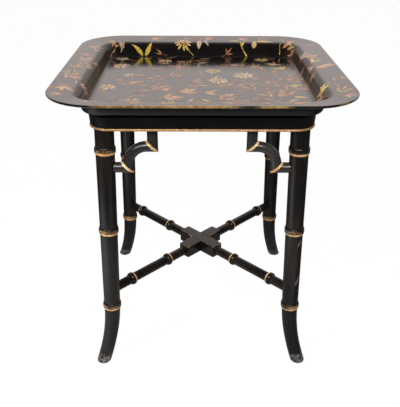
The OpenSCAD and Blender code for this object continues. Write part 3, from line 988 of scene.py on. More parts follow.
@dataclass
class Painting:
    """The gilt sprays on the tray: daisies, bamboo twigs and loose leaves, each stroke a thin raised skin."""

    form: TrayForm
    thick: float = 0.22
    seed: int = 5
    strokes: dict[Stroke, list[tuple[float, ...]]] = field(default_factory=dict)

    def __post_init__(self) -> None:
        """Starts the random draws and the empty lists."""
        self.rng = np.random.default_rng(self.seed)
        self.strokes = {kind: [] for kind in Stroke}

    def stroke(
        self, kind: Stroke, x: float, y: float, heading: float, length: float, width: float,
        bend: float = 0.0, tint: float = 0.5, faded: float = 0.0,
    ) -> tuple[float, float]:
        """Notes one stroke.

        Args:
            kind: Its outline.
            x: Unfolded X of its root.
            y: Unfolded Y of its root.
            heading: Direction in degrees, from +X towards +Y.
            length: Its length.
            width: Its greatest width.
            bend: How far it turns along its length, in degrees.
            tint: From 0, copper, to 1, white gold.
            faded: How much of it is rubbed away.

        Returns:
            Where it ends.
        """
        self.strokes[kind].append((x, y, heading, length, width, bend, tint, faded))
        half = math.radians(heading + bend / 2)
        return x + length * math.cos(half), y + length * math.sin(half)

    def outline(self, kind: Stroke, t: Array) -> Array:
        """Half width of a stroke at share t of its length, as a share of its greatest half width.

        Args:
            kind: The stroke's outline.
            t: Shares of its length.

        Returns:
            Half widths.
        """
        if kind is Stroke.PETAL:
            return np.sin(math.pi * t ** 1.15) ** 0.85 * (0.6 + 0.4 * t)
        if kind is Stroke.LEAF:
            return np.sin(math.pi * t ** 0.72) ** 1.05
        if kind is Stroke.STEM:
            return 0.35 + 0.65 * (1.0 - t) + 0.12 * np.sin(9.0 * t)
        return np.sin(math.pi * t) ** 0.5

    def skins(self, kind: Stroke) -> Skins:
        """All strokes of a kind as thin lenses on the tray.

        The heading turns evenly with t, so the middle line is its integral, (sin(h + b t) - sin h) / b along
        X and (cos h - cos(h + b t)) / b along Y, times the length. Round a row the angle a gives the offset
        cos a times the half width, and sin a times the thickness above the surface.

        Args:
            kind: The kind of stroke.

        Returns:
            The skins.
        """
        table = np.array(self.strokes[kind])
        rows, around = {Stroke.STEM: (16, 6), Stroke.LEAF: (9, 8)}.get(kind, (7, 8))
        x, y, heading, length, width, bend, tint, faded = (table[:, k, None] for k in range(8))
        heading = np.radians(heading)
        bend = np.radians(bend) + 1e-5
        t = np.linspace(0.015, 0.985, rows)[None]
        mid_x = x + length * (np.sin(heading + bend * t) - np.sin(heading)) / bend
        mid_y = y + length * (np.cos(heading) - np.cos(heading + bend * t)) / bend
        way = heading + bend * t
        half = width / 2 * self.outline(kind, t)
        angle = turn_angles(around) + math.pi / around
        offset = half[..., None] * np.cos(angle)
        lift = np.sin(angle) * self.thick * np.ones_like(offset)
        across = mid_x[..., None] - offset * np.sin(way)[..., None]
        along = mid_y[..., None] + offset * np.cos(way)[..., None]
        shape = offset.shape
        marks = {
            "tint": np.broadcast_to((tint + 0.12 * (t - 0.5))[..., None], shape),
            "faded": np.broadcast_to(faded[..., None], shape),
        }
        return Skins(self.form.place(across, along, lift), marks)

    def daisy(
        self, x: float, y: float, size: float, tint: float, petals: int = 10, lean: float = 270.0,
        droop: float = 0.35, faded: float = 0.0,
    ) -> None:
        """A daisy seen half from the side: petals on the lean side are longer.

        Args:
            x: Unfolded X of its middle.
            y: Unfolded Y of its middle.
            size: Length of its longest petals.
            tint: Its tint.
            petals: Number of petals.
            lean: Direction that it hangs towards, in degrees.
            droop: How much shorter the far petals are.
            faded: How much is rubbed away.
        """
        for number in range(petals):
            heading = 360.0 * number / petals + self.rng.uniform(-7, 7)
            away = 0.5 - 0.5 * math.cos(math.radians(heading - lean))
            length = size * (1 - droop * away) * self.rng.uniform(0.86, 1.08)
            start = size * 0.16
            root_x = x + start * math.cos(math.radians(heading))
            root_y = y + start * math.sin(math.radians(heading))
            shade = tint + self.rng.uniform(-0.12, 0.12)
            bend = self.rng.uniform(-16, 16)
            length -= start
            self.stroke(Stroke.PETAL, root_x, root_y, heading, length, size * 0.25, bend, shade, faded)
        self.stroke(Stroke.DAB, x - size * 0.17, y, 0.0, size * 0.34, size * 0.32, 0.0, tint - 0.35, faded)

    def leaf(
        self, x: float, y: float, heading: float, length: float, tint: float, width: float = 0.24,
        faded: float = 0.0,
    ) -> None:
        """A loose leaf with a little bend."""
        bend = self.rng.uniform(-28, 28)
        self.stroke(Stroke.LEAF, x, y, heading, length, length * width, bend, tint, faded)

    def twig(
        self, x: float, y: float, heading: float, length: float, bend: float, leaves: int, tint: float,
        leaf_size: float = 17.0, faded: float = 0.0,
    ) -> tuple[float, float]:
        """A bamboo twig: a thin stem with pointed leaves from its joints and a fork of leaves at its tip.

        Args:
            x: Unfolded X of its root.
            y: Unfolded Y of its root.
            heading: Direction it sets out in, in degrees.
            length: Its length.
            bend: How far it turns, in degrees.
            leaves: Number of leaves along it.
            tint: Its tint.
            leaf_size: Length of a leaf.
            faded: How much is rubbed away.

        Returns:
            Where the twig ends.
        """
        end = self.stroke(Stroke.STEM, x, y, heading, length, 2.3, bend, tint - 0.05, faded)
        for number in range(leaves):
            t = (number + 0.8) / (leaves + 0.6)
            way = math.radians(heading + bend * t / 2)
            root_x = x + length * t * math.cos(way)
            root_y = y + length * t * math.sin(way)
            side = 1 if number % 2 else -1
            aim = heading + bend * t + side * self.rng.uniform(22, 58)
            size = leaf_size * self.rng.uniform(0.65, 1.15)
            self.leaf(root_x, root_y, aim, size, tint + self.rng.uniform(-0.1, 0.08), 0.2, faded)
        for side in (-1, 0, 1):
            aim = heading + bend + side * self.rng.uniform(16, 34)
            self.leaf(*end, aim, leaf_size * self.rng.uniform(0.7, 1.1), tint + 0.06 * side, 0.2, faded)
        return end

    def sprig(
        self, x: float, y: float, heading: float, size: float, tint: float, leaves: int = 3,
        spread: float = 34.0, width: float = 0.24, faded: float = 0.0,
    ) -> None:
        """A fan of pointed leaves from one root, the middle ones longest.

        Args:
            x: Unfolded X of the root.
            y: Unfolded Y of the root.
            heading: Direction of the fan's middle, in degrees.
            size: Length of the longest leaf.
            tint: Its tint.
            leaves: Number of leaves.
            spread: Angle between neighbours, in degrees.
            width: A leaf's width as a share of its length.
            faded: How much is rubbed away.
        """
        stem = self.rng.uniform(0.35, 0.8) * size
        turn = self.rng.uniform(-40, 40)
        way = math.radians(heading - turn / 2)
        root = (x - stem * math.cos(way), y - stem * math.sin(way))
        self.stroke(Stroke.STEM, *root, heading - turn, stem, 1.8, turn, tint, faded)
        for number in range(leaves):
            away = number - (leaves - 1) / 2
            aim = heading + away * spread + self.rng.uniform(-9, 9)
            length = size * (1.0 - 0.16 * abs(away)) * self.rng.uniform(0.7, 1.15)
            shade = tint + self.rng.uniform(-0.1, 0.08)
            bend = 18 * away + self.rng.uniform(-22, 22)
            wide = length * width * self.rng.uniform(0.8, 1.2)
            self.stroke(Stroke.LEAF, x, y, aim, length, wide, bend, shade, faded)

    def field(self, daisies: Rows, sprigs: Rows, twigs: Rows, droop: float, faded: float) -> None:
        """Paints a field of daisies, then of sprigs, then of twigs.

        Args:
            daisies: Rows of x, y, size, tint, petals and lean.
            sprigs: Rows of x, y, heading, size, tint, leaves and spread.
            twigs: Rows of x, y, heading, length, bend, leaves, tint and leaf size.
            droop: How much shorter the daisies' far petals are.
            faded: How much of the daisies is rubbed away.
        """
        for row in daisies:
            self.daisy(*row, droop, faded)
        for row in sprigs:
            self.sprig(*row)
        for row in twigs:
            self.twig(*row)

    def paint_back_wall(self) -> None:
        """The wall that faces the front: the brightest painting, since nothing pale is mirrored over it."""
        self.daisy(-42, 244, 25, 0.66, 12, 270, 0.35)
        self.stroke(Stroke.STEM, -36, 236, -62, 32, 3.0, 18, 0.5)
        self.stroke(Stroke.LEAF, -138, 209, 112, 40, 10.0, 44, 0.5)
        self.stroke(Stroke.LEAF, -132, 209, 62, 40, 11.0, 8, 0.5)
        self.twig(-213, 184, 96, 38, -24, 1, 0.34, 14)
        self.leaf(-198, 248, -72, 30, 0.90, 0.34, 0.12)
        self.leaf(-184, 250, -95, 36, 0.84, 0.24, 0.15)
        self.leaf(-2, 254, -100, 30, 0.86, 0.42, 0.05)
        self.leaf(8, 255, -55, 24, 0.8, 0.34, 0.1)
        knee = self.stroke(Stroke.STEM, 110, 209, 124, 27, 4.2, -10, 0.5)
        top = self.stroke(Stroke.STEM, *knee, 96, 20, 3.6, 20, 0.5)
        self.leaf(*knee, 66, 20, 0.5, 0.3)
        self.leaf(*top, 172, 26, 0.55, 0.26)
        self.leaf(126, 228, 86, 27, 0.72, 0.46)
        self.stroke(Stroke.LEAF, 132, 249, 14, 44, 9, -40, 0.55)
        knee = self.stroke(Stroke.STEM, 188, 212, 74, 24, 2.8, 18, 0.46)
        knee = self.stroke(Stroke.STEM, *knee, 38, 18, 2.6, 10, 0.42)
        self.stroke(Stroke.STEM, *knee, 104, 18, 2.4, -20, 0.42)
        self.leaf(200, 226, 14, 32, 0.24, 0.4)
        self.leaf(212, 216, -16, 26, 0.28, 0.36)
        self.sprig(60, 214, 40, 20, 0.2, 3, 34, 0.22, 0.1)
        self.sprig(-92, 214, 150, 22, 0.2, 2, 30, 0.24, 0.1)
        self.sprig(218, 190, 60, 26, 0.24, 4, 34, 0.28)

    def paint_floor(self) -> None:
        """Daisies down the left and across the middle, and long branching twigs on the right."""
        daisies = (
            (-181, 186, 20, 0.88, 10, 180), (-182, 122, 25, 0.80, 12, 0), (-154, 46, 20, 0.88, 7, 330),
            (-84, 168, 22, 0.72, 11, 300), (-187, -42, 24, 0.72, 12, 200), (-131, -134, 20, 0.76, 9, 90),
            (26, 82, 23, 0.78, 11, 270), (33, 8, 28, 0.74, 12, 290), (93, 46, 30, 0.86, 13, 180),
            (142, 178, 22, 0.62, 10, 90), (46, -110, 27, 0.24, 8, 0), (-48, 56, 16, 0.24, 7, 0),
            (-90, -50, 17, 0.26, 6, 30),
        )
        sprigs = (
            (-104, -46, 8, 36, 0.12, 4, 26), (-70, 46, 4, 36, 0.14, 4, 34), (-134, 40, 20, 26, 0.14, 3, 30),
            (-150, -14, 28, 30, 0.28, 3, 30), (-84, 36, 170, 26, 0.26, 2, 40),
            (-44, -78, 14, 46, 0.26, 4, 22), (-20, -4, 12, 42, 0.16, 3, 30),
            (-74, -110, 4, 40, 0.22, 4, 28), (-40, 112, 160, 34, 0.1, 3, 34),
            (6, -78, -10, 36, 0.28, 3, 26), (-8, -38, 190, 28, 0.12, 2, 34),
            (-110, 98, 10, 30, 0.14, 3, 34), (-6, 150, 10, 32, 0.1, 3, 30), (64, 136, -12, 34, 0.14, 3, 30),
            (118, 116, 8, 34, 0.18, 3, 34), (-30, -140, 6, 40, 0.28, 4, 24),
            (20, -142, 170, 34, 0.28, 3, 28), (100, -150, 10, 34, 0.28, 3, 30),
            (-90, -170, 14, 36, 0.26, 3, 28), (150, -150, 170, 30, 0.27, 3, 28),
            (60, -180, 8, 34, 0.26, 3, 28), (-160, -150, 30, 32, 0.26, 3, 34),
            (178, 96, 100, 34, 0.5, 3, 34), (172, 140, 150, 30, 0.26, 3, 34),
            (-176, 14, 320, 28, 0.2, 3, 30), (150, 70, 16, 30, 0.2, 3, 34),
        )
        twigs = (
            (-172, -88, 190, 52, -130, 1, 0.26, 18), (62, -46, 12, 76, 24, 3, 0.24, 26),
            (132, -12, -30, 92, 26, 4, 0.24, 26), (130, -14, 44, 66, -46, 3, 0.24, 24),
            (156, 22, 6, 58, 30, 3, 0.22, 24), (88, -92, 20, 78, -26, 3, 0.26, 26),
            (140, -66, 30, 60, -30, 3, 0.26, 24), (98, -30, -60, 66, 40, 3, 0.22, 24),
            (176, 66, 160, 66, -40, 3, 0.22, 24), (60, -130, 12, 90, 14, 4, 0.26, 26),
            (20, -20, 8, 96, 30, 2, 0.22, 20), (110, 6, 60, 84, -60, 2, 0.25, 20),
            (70, -70, 40, 100, -40, 2, 0.26, 20), (-30, 20, 160, 70, 30, 2, 0.18, 22),
            (30, 120, 14, 84, -20, 2, 0.18, 22), (-120, 84, 30, 70, -34, 2, 0.18, 22),
            (-60, -20, 196, 74, -30, 2, 0.20, 22), (20, 170, 176, 60, 20, 2, 0.18, 20),
            (186, -24, 70, 46, 26, 2, 0.26, 24), (-20, 40, 30, 40, 40, 2, 0.20, 22),
            (4, -30, -10, 66, 20, 2, 0.22, 26), (-140, -70, 20, 60, -20, 2, 0.26, 26),
        )
        self.field(daisies, sprigs, twigs, 0.38, 0.0)
        for _ in range(46):
            x, y = self.rng.uniform(-190, 190), self.rng.uniform(-180, 190)
            shade = self.rng.choice([0.10, 0.18, 0.24, 0.70])
            self.leaf(x, y, self.rng.uniform(-30, 60), self.rng.uniform(16, 34), shade, 0.15)
        self.leaf(178, -34, 20, 30, 0.55, 0.4)
        self.leaf(176, -104, 350, 28, 0.58, 0.4)

    def paint_flange(self) -> None:
        """Sprays on the left, right, near and far flanges, and the leaves that climb over the shoulders."""
        daisies = (
            (-260, 2, 25, 0.27, 9, 10), (-268, -58, 24, 0.28, 8, 200), (-232, -122, 18, 0.22, 9, 90),
            (268, -170, 22, 0.50, 6, 30), (-60, -262, 18, 0.5, 9, 60), (150, 268, 18, 0.28, 8, 240),
        )
        sprigs = (
            (-276, 170, -20, 34, 0.26, 2, 30), (-262, 44, 100, 30, 0.24, 4, 30),
            (-258, 82, 170, 34, 0.22, 3, 34), (-282, -20, 40, 32, 0.26, 3, 34),
            (-266, -92, 60, 26, 0.26, 3, 34), (-272, -150, 300, 36, 0.26, 4, 30),
            (-262, -206, 170, 30, 0.26, 3, 30), (-232, 50, 250, 26, 0.10, 3, 30),
            (250, 36, 62, 40, 0.56, 2, 34), (250, -6, 10, 48, 0.30, 3, 18), (248, 10, 200, 30, 0.2, 3, 34),
            (232, -146, 76, 40, 0.50, 4, 24), (226, -160, 120, 30, 0.28, 3, 30),
            (262, -208, 340, 34, 0.26, 3, 30), (236, 96, 60, 38, 0.24, 5, 34),
            (262, 186, 16, 30, 0.27, 2, 30), (252, 96, 300, 34, 0.2, 3, 30),
            (-120, 268, 8, 34, 0.26, 3, 26), (30, 270, 174, 34, 0.26, 3, 26),
            (90, 268, -4, 34, 0.26, 3, 26), (216, 246, 320, 34, 0.27, 3, 30),
            (-210, 244, 210, 34, 0.26, 3, 30), (-130, -262, 4, 34, 0.28, 3, 26),
            (60, -262, 176, 34, 0.28, 3, 26), (150, -262, 10, 34, 0.28, 3, 26),
            (-210, -238, 330, 34, 0.28, 3, 30),
        )
        twigs = (
            (-276, 20, 80, 40, -30, 3, 0.26, 22), (-284, -64, 290, 66, 40, 3, 0.26, 24),
            (-262, -130, 250, 50, -30, 3, 0.26, 24), (236, -128, 50, 50, -30, 2, 0.27, 22),
            (262, -120, 290, 56, 24, 2, 0.26, 24), (252, 60, 80, 50, 20, 3, 0.24, 24),
            (-60, 270, 8, 70, -10, 3, 0.26, 24), (-20, -264, 4, 70, 10, 3, 0.28, 24),
            (80, -264, 6, 60, 14, 2, 0.28, 24), (-262, 120, 70, 50, 24, 3, 0.26, 24),
        )
        self.field(daisies, sprigs, twigs, 0.4, 0.02)

    def build(self, finishes: Finishes) -> list[bpy.types.Object]:
        """Paints everything and makes a piece of each kind of stroke.

        Args:
            finishes: The finishes.

        Returns:
            The painted pieces.
        """
        self.paint_back_wall()
        self.paint_floor()
        self.paint_flange()
        groups = {
            "painted_daisies": (Stroke.PETAL, Stroke.DAB),
            "painted_leaves": (Stroke.LEAF,),
            "painted_stems": (Stroke.STEM,),
        }
        made = []
        for name, kinds in groups.items():
            batches = [self.skins(kind) for kind in kinds]
            piece = make_piece(name, batches, finishes.painting, Body.TRAY, [], crease=80.0)
            made.append(piece)
        return made


# ---- stand ----


@dataclass
class StandForm:
    """The sizes that the stand's parts share."""

    top: float = 550.8
    apron_w: float = 410.0
    apron_d: float = 413.0
    apron_corner_r: float = 38.0
    apron_h: float = 29.2
    bead_h: float = 4.8
    bead_sunk: float = 0.8
    leg_span_x: float = 357.0
    leg_span_y: float = 369.0
    rake: float = 0.022
    leg_d: float = 36.0
    leg_d_low: float = 33.4
    foot_h: float = 122.0
    cane_r: float = 10.0
    bracket_z: float = 443.0
    stretcher_z: float = 168.0

    def __post_init__(self) -> None:
        """Works out the apron's underside and the legs' lean."""
        self.apron_z = self.top - self.apron_h
        self.lean = math.atan(self.rake * math.sqrt(2.0))

    def leg_x(self, height: float) -> float:
        """Distance of a leg's axis from the middle along X, at a height."""
        return self.leg_span_x / 2 + self.rake * (self.apron_z - height)

    def leg_y(self, height: float) -> float:
        """Distance of a leg's axis from the middle along Y, at a height."""
        return self.leg_span_y / 2 + self.rake * (self.apron_z - height)

    def leg_r(self, height: Array) -> Array:
        """Radius of a leg between its rings: it tapers evenly from the apron to the foot."""
        share = (height - self.foot_h) / (self.apron_z - self.foot_h)
        return (self.leg_d_low + (self.leg_d - self.leg_d_low) * share) / 2

    def leg_frame(self, corner: Corner) -> tuple[Array, Array]:
        """Where a leg's axis passes the apron's underside, and the turn that leans it.

        Args:
            corner: The leg's corner.

        Returns:
            The point, and a 3 by 3 rotation matrix.
        """
        sx, sy = corner.value
        start = np.array([sx * self.leg_span_x / 2, sy * self.leg_span_y / 2, self.apron_z])
        axis = Vector((sy, -sx, 0.0))
        return start, np.array(Matrix.Rotation(self.lean, 3, axis))


def make_stand_piece(
    name: str, batches: list[Skins], material: bpy.types.Material, node: str,
) -> bpy.types.Object:
    """Makes a piece that rides on the stand and stands for one CAD node.

    Args:
        name: The piece's name.
        batches: Its skins.
        material: Its finish.
        node: The CAD node.

    Returns:
        The new object.
    """
    return make_piece(name, batches, material, Body.STAND, [node], crease=50.0)


def seed_of(text: str) -> int:
    """A steady whole number from a text, to seed its random draws."""
    return sum((number + 1) * ord(letter) for number, letter in enumerate(text))


@dataclass
class TurnedLeg:
    """A ring-turned leg: a tapering post, three gilt rings and the tenon at its head.

    The gilding has a sound lip and a worn bulge, each given as its low edge, high edge and softness from
    the ring's middle. The third number of a ring's gilding is how sound the bulge is.
    """

    form: StandForm
    rings: tuple[float, ...] = (132.0, 310.0, 478.5)
    low_gilt: tuple[object, ...] = ((-6.6, -2.6, 0.4), (-3.0, 4.5, 1.2), 0.44)
    top_gilt: tuple[object, ...] = ((-7.6, -2.6, 0.5), (-2.6, 3.0, 1.2), 0.42)
    scuffs: Rows = ((174.0, 184.0, 5.0), (264.0, 270.0, 5.0))
    ring_half: float = 7.5
    ring_proud: float = 2.3
    tenon_r: float = 11.0
    tenon_l: float = 17.0
    around: int = 48

    def build(self, corner: Corner, finishes: Finishes) -> bpy.types.Object:
        """Turns the leg's section round its leaning axis and cuts its foot level.

        The rings' bulges are worn, so that the gilding is sound only on a lip below each of them.

        Args:
            corner: The leg's corner.
            finishes: The finishes.

        Returns:
            The leg.
        """
        form = self.form
        start, turn = form.leg_frame(corner)
        spans = [np.linspace(form.foot_h, form.apron_z, 60)]
        spans += [ring + np.linspace(-11.0, 11.0, 67) for ring in self.rings]
        height = np.unique(np.concatenate(spans).round(3))
        groove = (0.35, 0.8, 0.5)
        radius = ring_profile(form.leg_r(height), height, self.rings, self.ring_half, self.ring_proud, groove)
        angle = turn_angles(self.around)
        circle = np.stack([np.cos(angle), np.sin(angle), np.zeros_like(angle)], -1)
        local = radius[:, None, None] * circle
        local[..., 2] = (height - form.apron_z)[:, None]
        points = local @ turn.T + start
        for row, level in ((0, form.foot_h), (-1, form.apron_z)):
            slide = (level - points[row, :, 2]) / turn[2, 2]
            points[row] += slide[:, None] * turn[:, 2]
        tenon = self.tenon_r * np.stack([circle, circle])
        tenon[1, :, 2] = self.tenon_l
        points = np.concatenate([points, tenon @ turn.T + start])
        wobble = wander(np.random.default_rng(seed_of(corner.label)), angle, 0.22, (1, 2, 3, 5))
        gilt = np.zeros((len(height), self.around))
        for ring in self.rings:
            level = (height - ring)[:, None] + wobble[None]
            lip, bulge, sound = self.top_gilt if ring == max(self.rings) else self.low_gilt
            gilt = np.maximum.reduce([gilt, band(level, *lip), sound * band(level, *bulge)])
        gilt = np.concatenate([gilt, np.zeros((2, self.around))])
        slant = height[:, None] - 34.0 * np.cos(angle)[None]
        rubbed = np.maximum.reduce([band(slant, *scuff) for scuff in self.scuffs])
        rubbed = rubbed * band(angle, math.radians(285.0), math.radians(320.0), 0.2)[None]
        share = 1.0 if corner is Corner.FRONT_RIGHT else 0.25
        rubbed = np.concatenate([share * rubbed, np.zeros((2, self.around))])
        skins = Skins(points, {"gilt": gilt, "rubbed": rubbed})
        return make_stand_piece(f"turned_leg_{corner.label}", [skins], finishes.stand, f"leg_{corner.label}")


@dataclass
class SabreFoot:
    """An outswept foot, joined to the leg below its lowest ring."""

    form: StandForm
    low_d: float = 30.0
    splay: float = 20.0
    scuff_h: float = 42.0
    round_r: float = 2.5
    step: float = 0.4
    eased: float = 0.5
    around: int = 48

    def build(self, corner: Corner, finishes: Finishes) -> bpy.types.Object:
        """Stacks level circles along the leg's line, which swings out by the square of the depth.

        At height z the centre is the leg's axis plus splay times ((122 - z) / 122)^2 along X and Y. The
        radius runs from the leg's to the toe's over the upper part, and the lower edge is rounded.

        Args:
            corner: The foot's corner.
            finishes: The finishes.

        Returns:
            The foot.
        """
        form = self.form
        sx, sy = corner.value
        top = form.foot_h
        upper = np.linspace(top, self.round_r, 34)[1:]
        low = self.round_r * (1 - np.sin(np.radians(np.linspace(0.0, 90.0, 7)[1:])))
        height = np.concatenate([[top, top - self.eased], upper, low])
        depth = np.clip(self.round_r - height, 0.0, self.round_r)
        inset = self.round_r - np.sqrt(self.round_r ** 2 - depth ** 2)
        inset[0] = self.eased
        joint_r = float(form.leg_r(np.array(top)))
        blend = np.maximum(0.0, 1.6 * height / top - 0.6)
        radius = self.low_d / 2 + (joint_r - self.step - self.low_d / 2) * blend - inset
        swing = self.splay * ((top - height) / top) ** 2
        lean = form.rake * (form.apron_z - height)
        centre_x = sx * (form.leg_span_x / 2 + lean + swing)
        centre_y = sy * (form.leg_span_y / 2 + lean + swing)
        angle = turn_angles(self.around)
        x = centre_x[:, None] + radius[:, None] * np.cos(angle)
        y = centre_y[:, None] + radius[:, None] * np.sin(angle)
        z = np.broadcast_to(height[:, None], x.shape)
        # Paler towards the floor: partly scuffing, partly a painted highlight for the shine on the toes.
        scuffs_and_toe_sheen = 0.2 + 0.8 * smooth_step(-z, -self.scuff_h, -8.0)
        skins = Skins(np.stack([x, y, z], -1), {"rubbed": scuffs_and_toe_sheen})
        return make_stand_piece(f"sabre_foot_{corner.label}", [skins], finishes.stand, f"foot_{corner.label}")


@dataclass
class CaneBracket:
    """A spandrel bracket of three canes, mitred where they meet, with a gilt line at both mitres."""

    form: StandForm
    bend_r: float = 36.0
    upright_x: float = 91.3
    run_low: float = 6.0
    run_high: float = 10.7
    gilt_w: float = 2.5
    lip: float = 0.45
    around: int = 40

    def __post_init__(self) -> None:
        """Works out the bend's centre and the mitres' corners."""
        self.bend_x = self.upright_x + self.run_high
        self.bend_z = self.form.bracket_z + self.run_low
        self.mitre_x = self.bend_x + self.bend_r
        self.mitre_z = self.bend_z + self.bend_r
        self.quarter = self.bend_r * math.pi / 2

    def swell(self, distance: Array) -> Array:
        """How far a cane stands out near a mitre: a low rounded lip."""
        return self.lip * np.exp(-((distance / self.gilt_w) ** 2))

    def gilding(self, distance: Array) -> Array:
        """How sound a cane's gilding is at a distance from a mitre."""
        return 1.0 - smooth_step(distance, self.gilt_w * 0.8, self.gilt_w * 1.2)

    def bent(self, run: Array, angle: Array, radius: Array) -> Array:
        """Points of the curved cane, drawn on the right in the XZ plane.

        Before 0 the middle line rises straight at mitre_x. Then it turns a quarter about the bend's centre,
        and after the quarter it runs straight back towards the middle. The angle is 0 on the outer side.

        Args:
            run: Distance along the middle line from the bend's start.
            angle: Angle round the cane.
            radius: The cane's radius there.

        Returns:
            Points with three coordinates, with Y measured from the bracket's plane.
        """
        out = self.bend_r + radius * np.cos(angle)
        turned = np.clip(run, 0.0, self.quarter) / self.bend_r
        before = np.minimum(run, 0.0)
        after = np.maximum(run - self.quarter, 0.0)
        x = self.bend_x + out * np.cos(turned) - after
        z = self.bend_z + out * np.sin(turned) + before
        return np.stack([x, radius * np.sin(angle), z], -1)

    def low_side(self, points: Array) -> Array:
        """Distance above the lower mitre's plane, which rises at 45 degrees through its corner."""
        return ((points[..., 2] - self.form.bracket_z) - (points[..., 0] - self.mitre_x)) / math.sqrt(2.0)

    def high_side(self, points: Array) -> Array:
        """Distance below the upper mitre's plane."""
        return ((points[..., 0] - self.upright_x) - (points[..., 2] - self.mitre_z)) / math.sqrt(2.0)

    def run_at(self, angle: Array, low: float, high: float, upper: bool) -> Array:
        """Where the curved cane's surface meets a mitre, for each angle, by halving the interval 40 times.

        Args:
            angle: Angles round the cane.
            low: A run inside the cane.
            high: A run beyond the mitre.
            upper: True for the upper mitre.

        Returns:
            A run for each angle.
        """
        inside = np.full_like(angle, low)
        outside = np.full_like(angle, high)
        side = self.high_side if upper else self.low_side
        for _ in range(40):
            middle = (inside + outside) / 2
            kept = side(self.bent(middle, angle, np.full_like(angle, self.form.cane_r))) > 0
            inside = np.where(kept, middle, inside)
            outside = np.where(kept, outside, middle)
        return inside

    def to_corner(self, points: Array, corner: Corner) -> Array:
        """Moves points drawn on the right to a corner's bracket."""
        sx, sy = corner.value
        plane = sy * self.form.leg_y(self.form.bracket_z)
        return points * [sx, 1.0, 1.0] + [0.0, plane, 0.0]

    def curved(self) -> Skins:
        """The curved cane between its two mitres.

        Returns:
            Its skin, drawn on the right.
        """
        angle = turn_angles(self.around)
        low = self.run_at(angle, 20.0, -30.0, False)
        high = self.run_at(angle, self.quarter - 20.0, self.quarter + 40.0, True)
        near = np.array([0.0, 0.004, 0.008, 0.013, 0.019, 0.026, 0.035, 0.045, 0.06])
        share = np.concatenate([near, np.linspace(0.08, 0.92, 26), 1.0 - near[::-1]])
        run = low[None] + (high - low)[None] * share[:, None]
        angle = np.broadcast_to(angle, run.shape)
        plain = self.bent(run, angle, np.full_like(run, self.form.cane_r))
        near_mitre = np.minimum(self.low_side(plain), self.high_side(plain))
        points = self.bent(run, angle, self.form.cane_r + self.swell(near_mitre))
        return Skins(points, {"gilt": self.gilding(near_mitre)})

    def straight(self, upright: bool) -> Skins:
        """The level cane from its mitre into the leg, or the upright one from its mitre to the apron.

        A point at share t goes evenly from the mitre's plane, at the section's own offset, to the far end.

        Args:
            upright: True for the upright cane.

        Returns:
            Its skin, drawn on the right.
        """
        form = self.form
        angle = turn_angles(self.around)
        near = np.array([0.0, 0.6, 1.2, 1.7, 2.2, 2.8, 3.5, 4.5])
        side = form.cane_r * np.cos(angle)
        if upright:
            far = form.apron_z - self.mitre_z
        else:
            far = form.leg_x(form.bracket_z) - 0.5 * form.leg_d - self.mitre_x
            out = form.cane_r * np.sin(angle)
            deep = form.leg_r(np.array(form.bracket_z))
            far = far + deep - np.sqrt(deep ** 2 - out ** 2) + 0.1
        steps = np.linspace(0.0, 1.0, 12)[1:, None]
        close = side[None] + near[:, None]
        rest = close[-1:] + (far - close[-1:]) * steps
        run = np.concatenate([close, rest])
        distance = (run - side[None]) / math.sqrt(2.0)
        radius = form.cane_r + self.swell(distance)
        across = radius * np.cos(angle)
        y = radius * np.sin(angle)
        if upright:
            points = np.stack([self.upright_x + across, y, self.mitre_z + run], -1)
        else:
            points = np.stack([self.mitre_x + run, y, form.bracket_z + across], -1)
        return Skins(points, {"gilt": self.gilding(distance)})

    def build(self, corner: Corner, finishes: Finishes) -> list[bpy.types.Object]:
        """Makes the three canes of a bracket.

        Args:
            corner: The bracket's corner.
            finishes: The finishes.

        Returns:
            The canes.
        """
        made = []
        shapes = {"level": self.straight(False), "curved": self.curved(), "upright": self.straight(True)}
        for kind, skins in shapes.items():
            skins.points = self.to_corner(skins.points, corner)
            node = f"{kind}_cane_{corner.label}"
            made.append(make_stand_piece(f"bamboo_{node}", [skins], finishes.cane, node))
        return made


